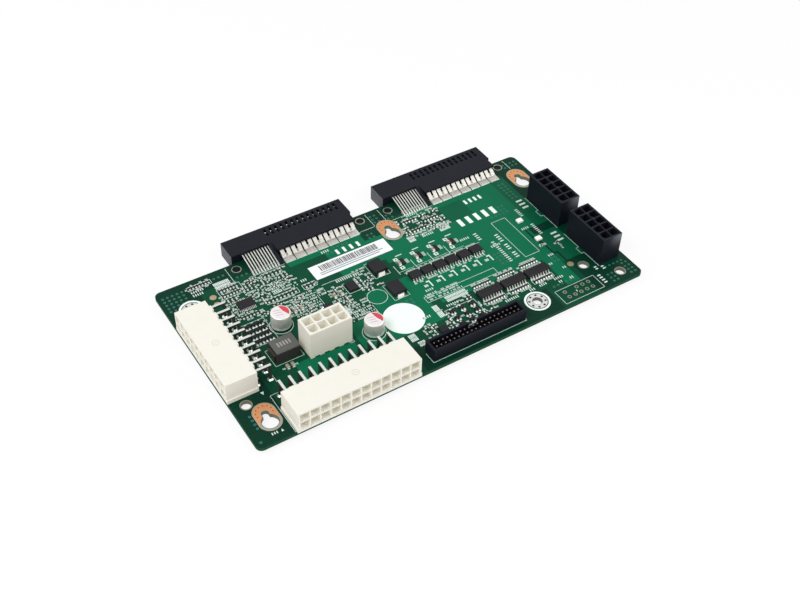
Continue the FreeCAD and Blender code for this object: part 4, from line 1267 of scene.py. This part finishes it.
# %% Capacitor cans
CAN_RADIUS, CAN_LOW = 4, 0.6
CAN_FOOT = [
    (3.6, CAN_LOW), (3.9, CAN_LOW + 0.05), (CAN_RADIUS, CAN_LOW + 0.25), (CAN_RADIUS, 1.3), (3.92, 1.42),
    (3.82, 1.6), (3.92, 1.78), (CAN_RADIUS, 1.9)]
CAN_SHOULDER = [(CAN_RADIUS, 0.55), (3.93, 0.28), (3.76, 0.1), (3.5, 0.03), (3.4, 0.06)]
LID_RADIUS, RED_RADIUS, RED_POINT, RED_ANGLES = 3.42, 3.38, (1.1, 0.3), (-48, 78)
LID_DROP, RED_DROP, VALUE_DROP = (0.07, 0.04), (0.035, 0.015), (0.04, 0.025)
VALUE_ROWS, VALUE_START, VALUE_END, VALUE_WIDTH = (-1.2, 0.1, 1.4), (-2.2, 0.4), (0.6, -0.3), 0.28
for name, (x, y) in CAPACITORS.items():
    can, lid, red_mark, value_bars = [MeshBook() for _ in range(4)]
    top = board_box(name + "_can")[1].z
    can.turned(x, y, CAN_FOOT + [(radius, top - drop) for radius, drop in CAN_SHOULDER], count=64)
    lid.disc(x, y, LID_RADIUS, top - LID_DROP[0], top - LID_DROP[1], count=64)
    red_mark.prism([(x + RED_POINT[0], y + RED_POINT[1])] + arc(x, y, RED_RADIUS, *RED_ANGLES, count=24),
                   top - RED_DROP[0], top - RED_DROP[1])
    for row in VALUE_ROWS:
        value_bars.strip(x + VALUE_START[0], y + row + VALUE_START[1], x + VALUE_END[0],
                         y + row + VALUE_END[1], VALUE_WIDTH, top - VALUE_DROP[0], top - VALUE_DROP[1])
    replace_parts(can.piece(name + "_rolled_can", CAN_METAL, "can_metal", smooth=True), name + "_can")
    lid.piece(name + "_lid_coat", LID_TONE, "can_metal")
    red_mark.piece(name + "_polarity_mark", RED_INK, "can_metal")
    value_bars.piece(name + "_value_bars", LID_INK, "can_metal")

# %% [markdown]
# The paper label carries a row of plain bars of uneven width and two faint ruled lines, printed
# like any stock label. The widths come from the same seeded random draw.

# %% Label bars
BARS_LEFT, BARS_RIGHT, BARS_FRONT, BARS_REAR = 4.2, 4.6, 4.4, 1
BAR_WIDTHS, BAR_GAPS = (0.2, 0.2, 0.36, 0.5), (0.2, 0.26, 0.36)
RULED_LINES, RULED_LEFT, RULED_WIDTH = ((2.9, 3.4), (1.8, 5.6)), 3, 0.5
label_low, label_high = board_box("paper_label")
label_bars, ruled = MeshBook(), MeshBook()
x = label_low.x + BARS_LEFT
while x < label_high.x - BARS_RIGHT:
    width = random.choice(BAR_WIDTHS)
    label_bars.block((x, label_high.y - BARS_FRONT, label_high.z),
                     (x + width, label_high.y - BARS_REAR, label_high.z + LAP))
    x += width + random.choice(BAR_GAPS)
for y, from_right in RULED_LINES:
    ruled.block((label_low.x + RULED_LEFT, label_low.y + y - RULED_WIDTH / 2, label_high.z),
                (label_high.x - from_right, label_low.y + y + RULED_WIDTH / 2, label_high.z + LAP))
label_bars.piece("label_bars", BLACK_INK, "label_paper")
ruled.piece("label_ruled_lines", GREY_INK, "label_paper")

# %% [markdown]
# A moulded chip has a shallow round dimple by its first lead. It is drawn as a thin dark disc set
# just above the top face, which reads as the dimple's shadow. The inductor's block has five pale
# bars where a maker prints its value.

# %% First-lead dimples and the block's printed bars
DIMPLE_RIGHT, DIMPLE_BACK, DIMPLE_RADIUS, DIMPLE_RISE = 0.75, 0.95, 0.3, 0.006
CORE_SHIFTS, CORE_BAR, CORE_HALF, CORE_RISE = (-2.4, -1.2, 0, 1.2, 2.4), 0.32, 1.1, 0.012
dimples, core_marks = MeshBook(), MeshBook()
for name in ("driver_chip_bodies", "logic_chip_bodies", "monitor_chip", "controller_chip"):
    for low, high in loose_boxes(name):
        dimples.disc(low.x + DIMPLE_RIGHT, low.y + DIMPLE_BACK, DIMPLE_RADIUS, high.z - LAP,
                     high.z + DIMPLE_RISE, count=18)
core_low, core_high = board_box("inductor_core")
x, y = centre(core_low, core_high)
for shift in CORE_SHIFTS:
    core_marks.block((x + shift - CORE_BAR, y - CORE_HALF, core_high.z - 2 * LAP),
                     (x + shift + CORE_BAR, y + CORE_HALF, core_high.z + CORE_RISE))
dimples.piece("chip_dimples", SEAL_RUBBER, "chip_black")
core_marks.piece("inductor_printed_bars", PALE_GREY_INK, "ferrite")

# %% [markdown]
# The studio is a pale floor, a broad soft key from the left, as strong a fill from the right, a
# weaker light from the rear and an even white world. The floor is white to the camera by its own
# colour, mixed with its lit face, so the object's shadow still shows faintly.

# %% Stage and light
WHITE, FLOOR_GREY = (1, 1, 1, 1), (0.9, 0.9, 0.9, 1)
FLOOR_REACH, FLOOR_DROP, FLOOR_GLOW, WORLD_LIGHT = 3, 0.0002, 0.86, 0.55


def make_floor():
    finish = Finish("studio_floor")
    finish.fill(Base_Color=FLOOR_GREY, Roughness=0.7 + finish.noise(30) * 0.1)
    glow = finish.node("ShaderNodeEmission", {}, {"Color": WHITE, "Strength": 1})
    lit = Wire(finish, finish.shader.outputs[0])
    both = finish.node("ShaderNodeMixShader", {}, {0: finish.background_rays() * FLOOR_GLOW, 1: lit, 2: glow})
    finish.feed(finish.tree.nodes["Material Output"].inputs["Surface"], both)
    mesh = bpy.data.meshes.new("studio_floor")
    corners = [(-1, -1), (1, -1), (1, 1), (-1, 1)]
    mesh.from_pydata([(x * FLOOR_REACH, y * FLOOR_REACH, 0) for x, y in corners], [], [(0, 1, 2, 3)])
    mesh.materials.append(finish.material)
    floor = bpy.data.objects.new("studio_floor", mesh)
    floor.location.z = cad_box[0][2] - FLOOR_DROP
    bpy.context.scene.collection.objects.link(floor)


def soft_lamp(name, place, size, power):
    """A round lamp that looks at the middle of the frame."""
    lamp = bpy.data.lights.new(name, "AREA")
    lamp.shape = "DISK"
    lamp.size = size
    lamp.energy = power
    body = bpy.data.objects.new(name, lamp)
    body.location = place
    body.rotation_euler = (-Vector(place)).to_track_quat("-Z", "Y").to_euler()
    bpy.context.scene.collection.objects.link(body)


make_floor()
soft_lamp("key_light", (-0.45, -0.15, 0.62), 0.35, 2.6)
soft_lamp("fill_light", (0.5, -0.5, 0.5), 0.5, 2.6)
soft_lamp("rear_light", (-0.5, 0.55, 0.6), 0.4, 1.8)
world = bpy.data.worlds.new("studio_world")
world.use_nodes = True
sky = Graph(world.node_tree)
dim = sky.node("ShaderNodeBackground", {}, {"Color": WHITE, "Strength": WORLD_LIGHT})
full = sky.node("ShaderNodeBackground", {}, {"Color": WHITE, "Strength": 1})
both = sky.node("ShaderNodeMixShader", {}, {0: sky.background_rays(), 1: dim, 2: full})
sky.feed(world.node_tree.nodes["World Output"].inputs["Surface"], both)
bpy.context.scene.world = world
print("lamps:", len(bpy.data.lights))

# %% [markdown]
# The camera stands where the photographer stood: above the front left corner, looking down at the
# board. Its place, turn and lens come from matching known corners of the board and headers.

# %% Camera
LENS_PIXELS, IMAGE_WIDTH = 1133.36, 800
CAMERA_PLACE, CAMERA_TURN = (-94.91, -229.72, 314.92), (0.7943, -0.021, -0.5644)
camera_data = bpy.data.cameras.new("camera")
camera_data.sensor_width = 36
camera_data.lens = LENS_PIXELS * camera_data.sensor_width / IMAGE_WIDTH
camera = bpy.data.objects.new("camera", camera_data)
camera.location = spot(*CAMERA_PLACE)
camera.rotation_euler = CAMERA_TURN
bpy.context.scene.collection.objects.link(camera)
bpy.context.scene.camera = camera
bpy.context.scene.view_settings.view_transform = "Standard"
print("lens, mm:", round(camera_data.lens, 2))
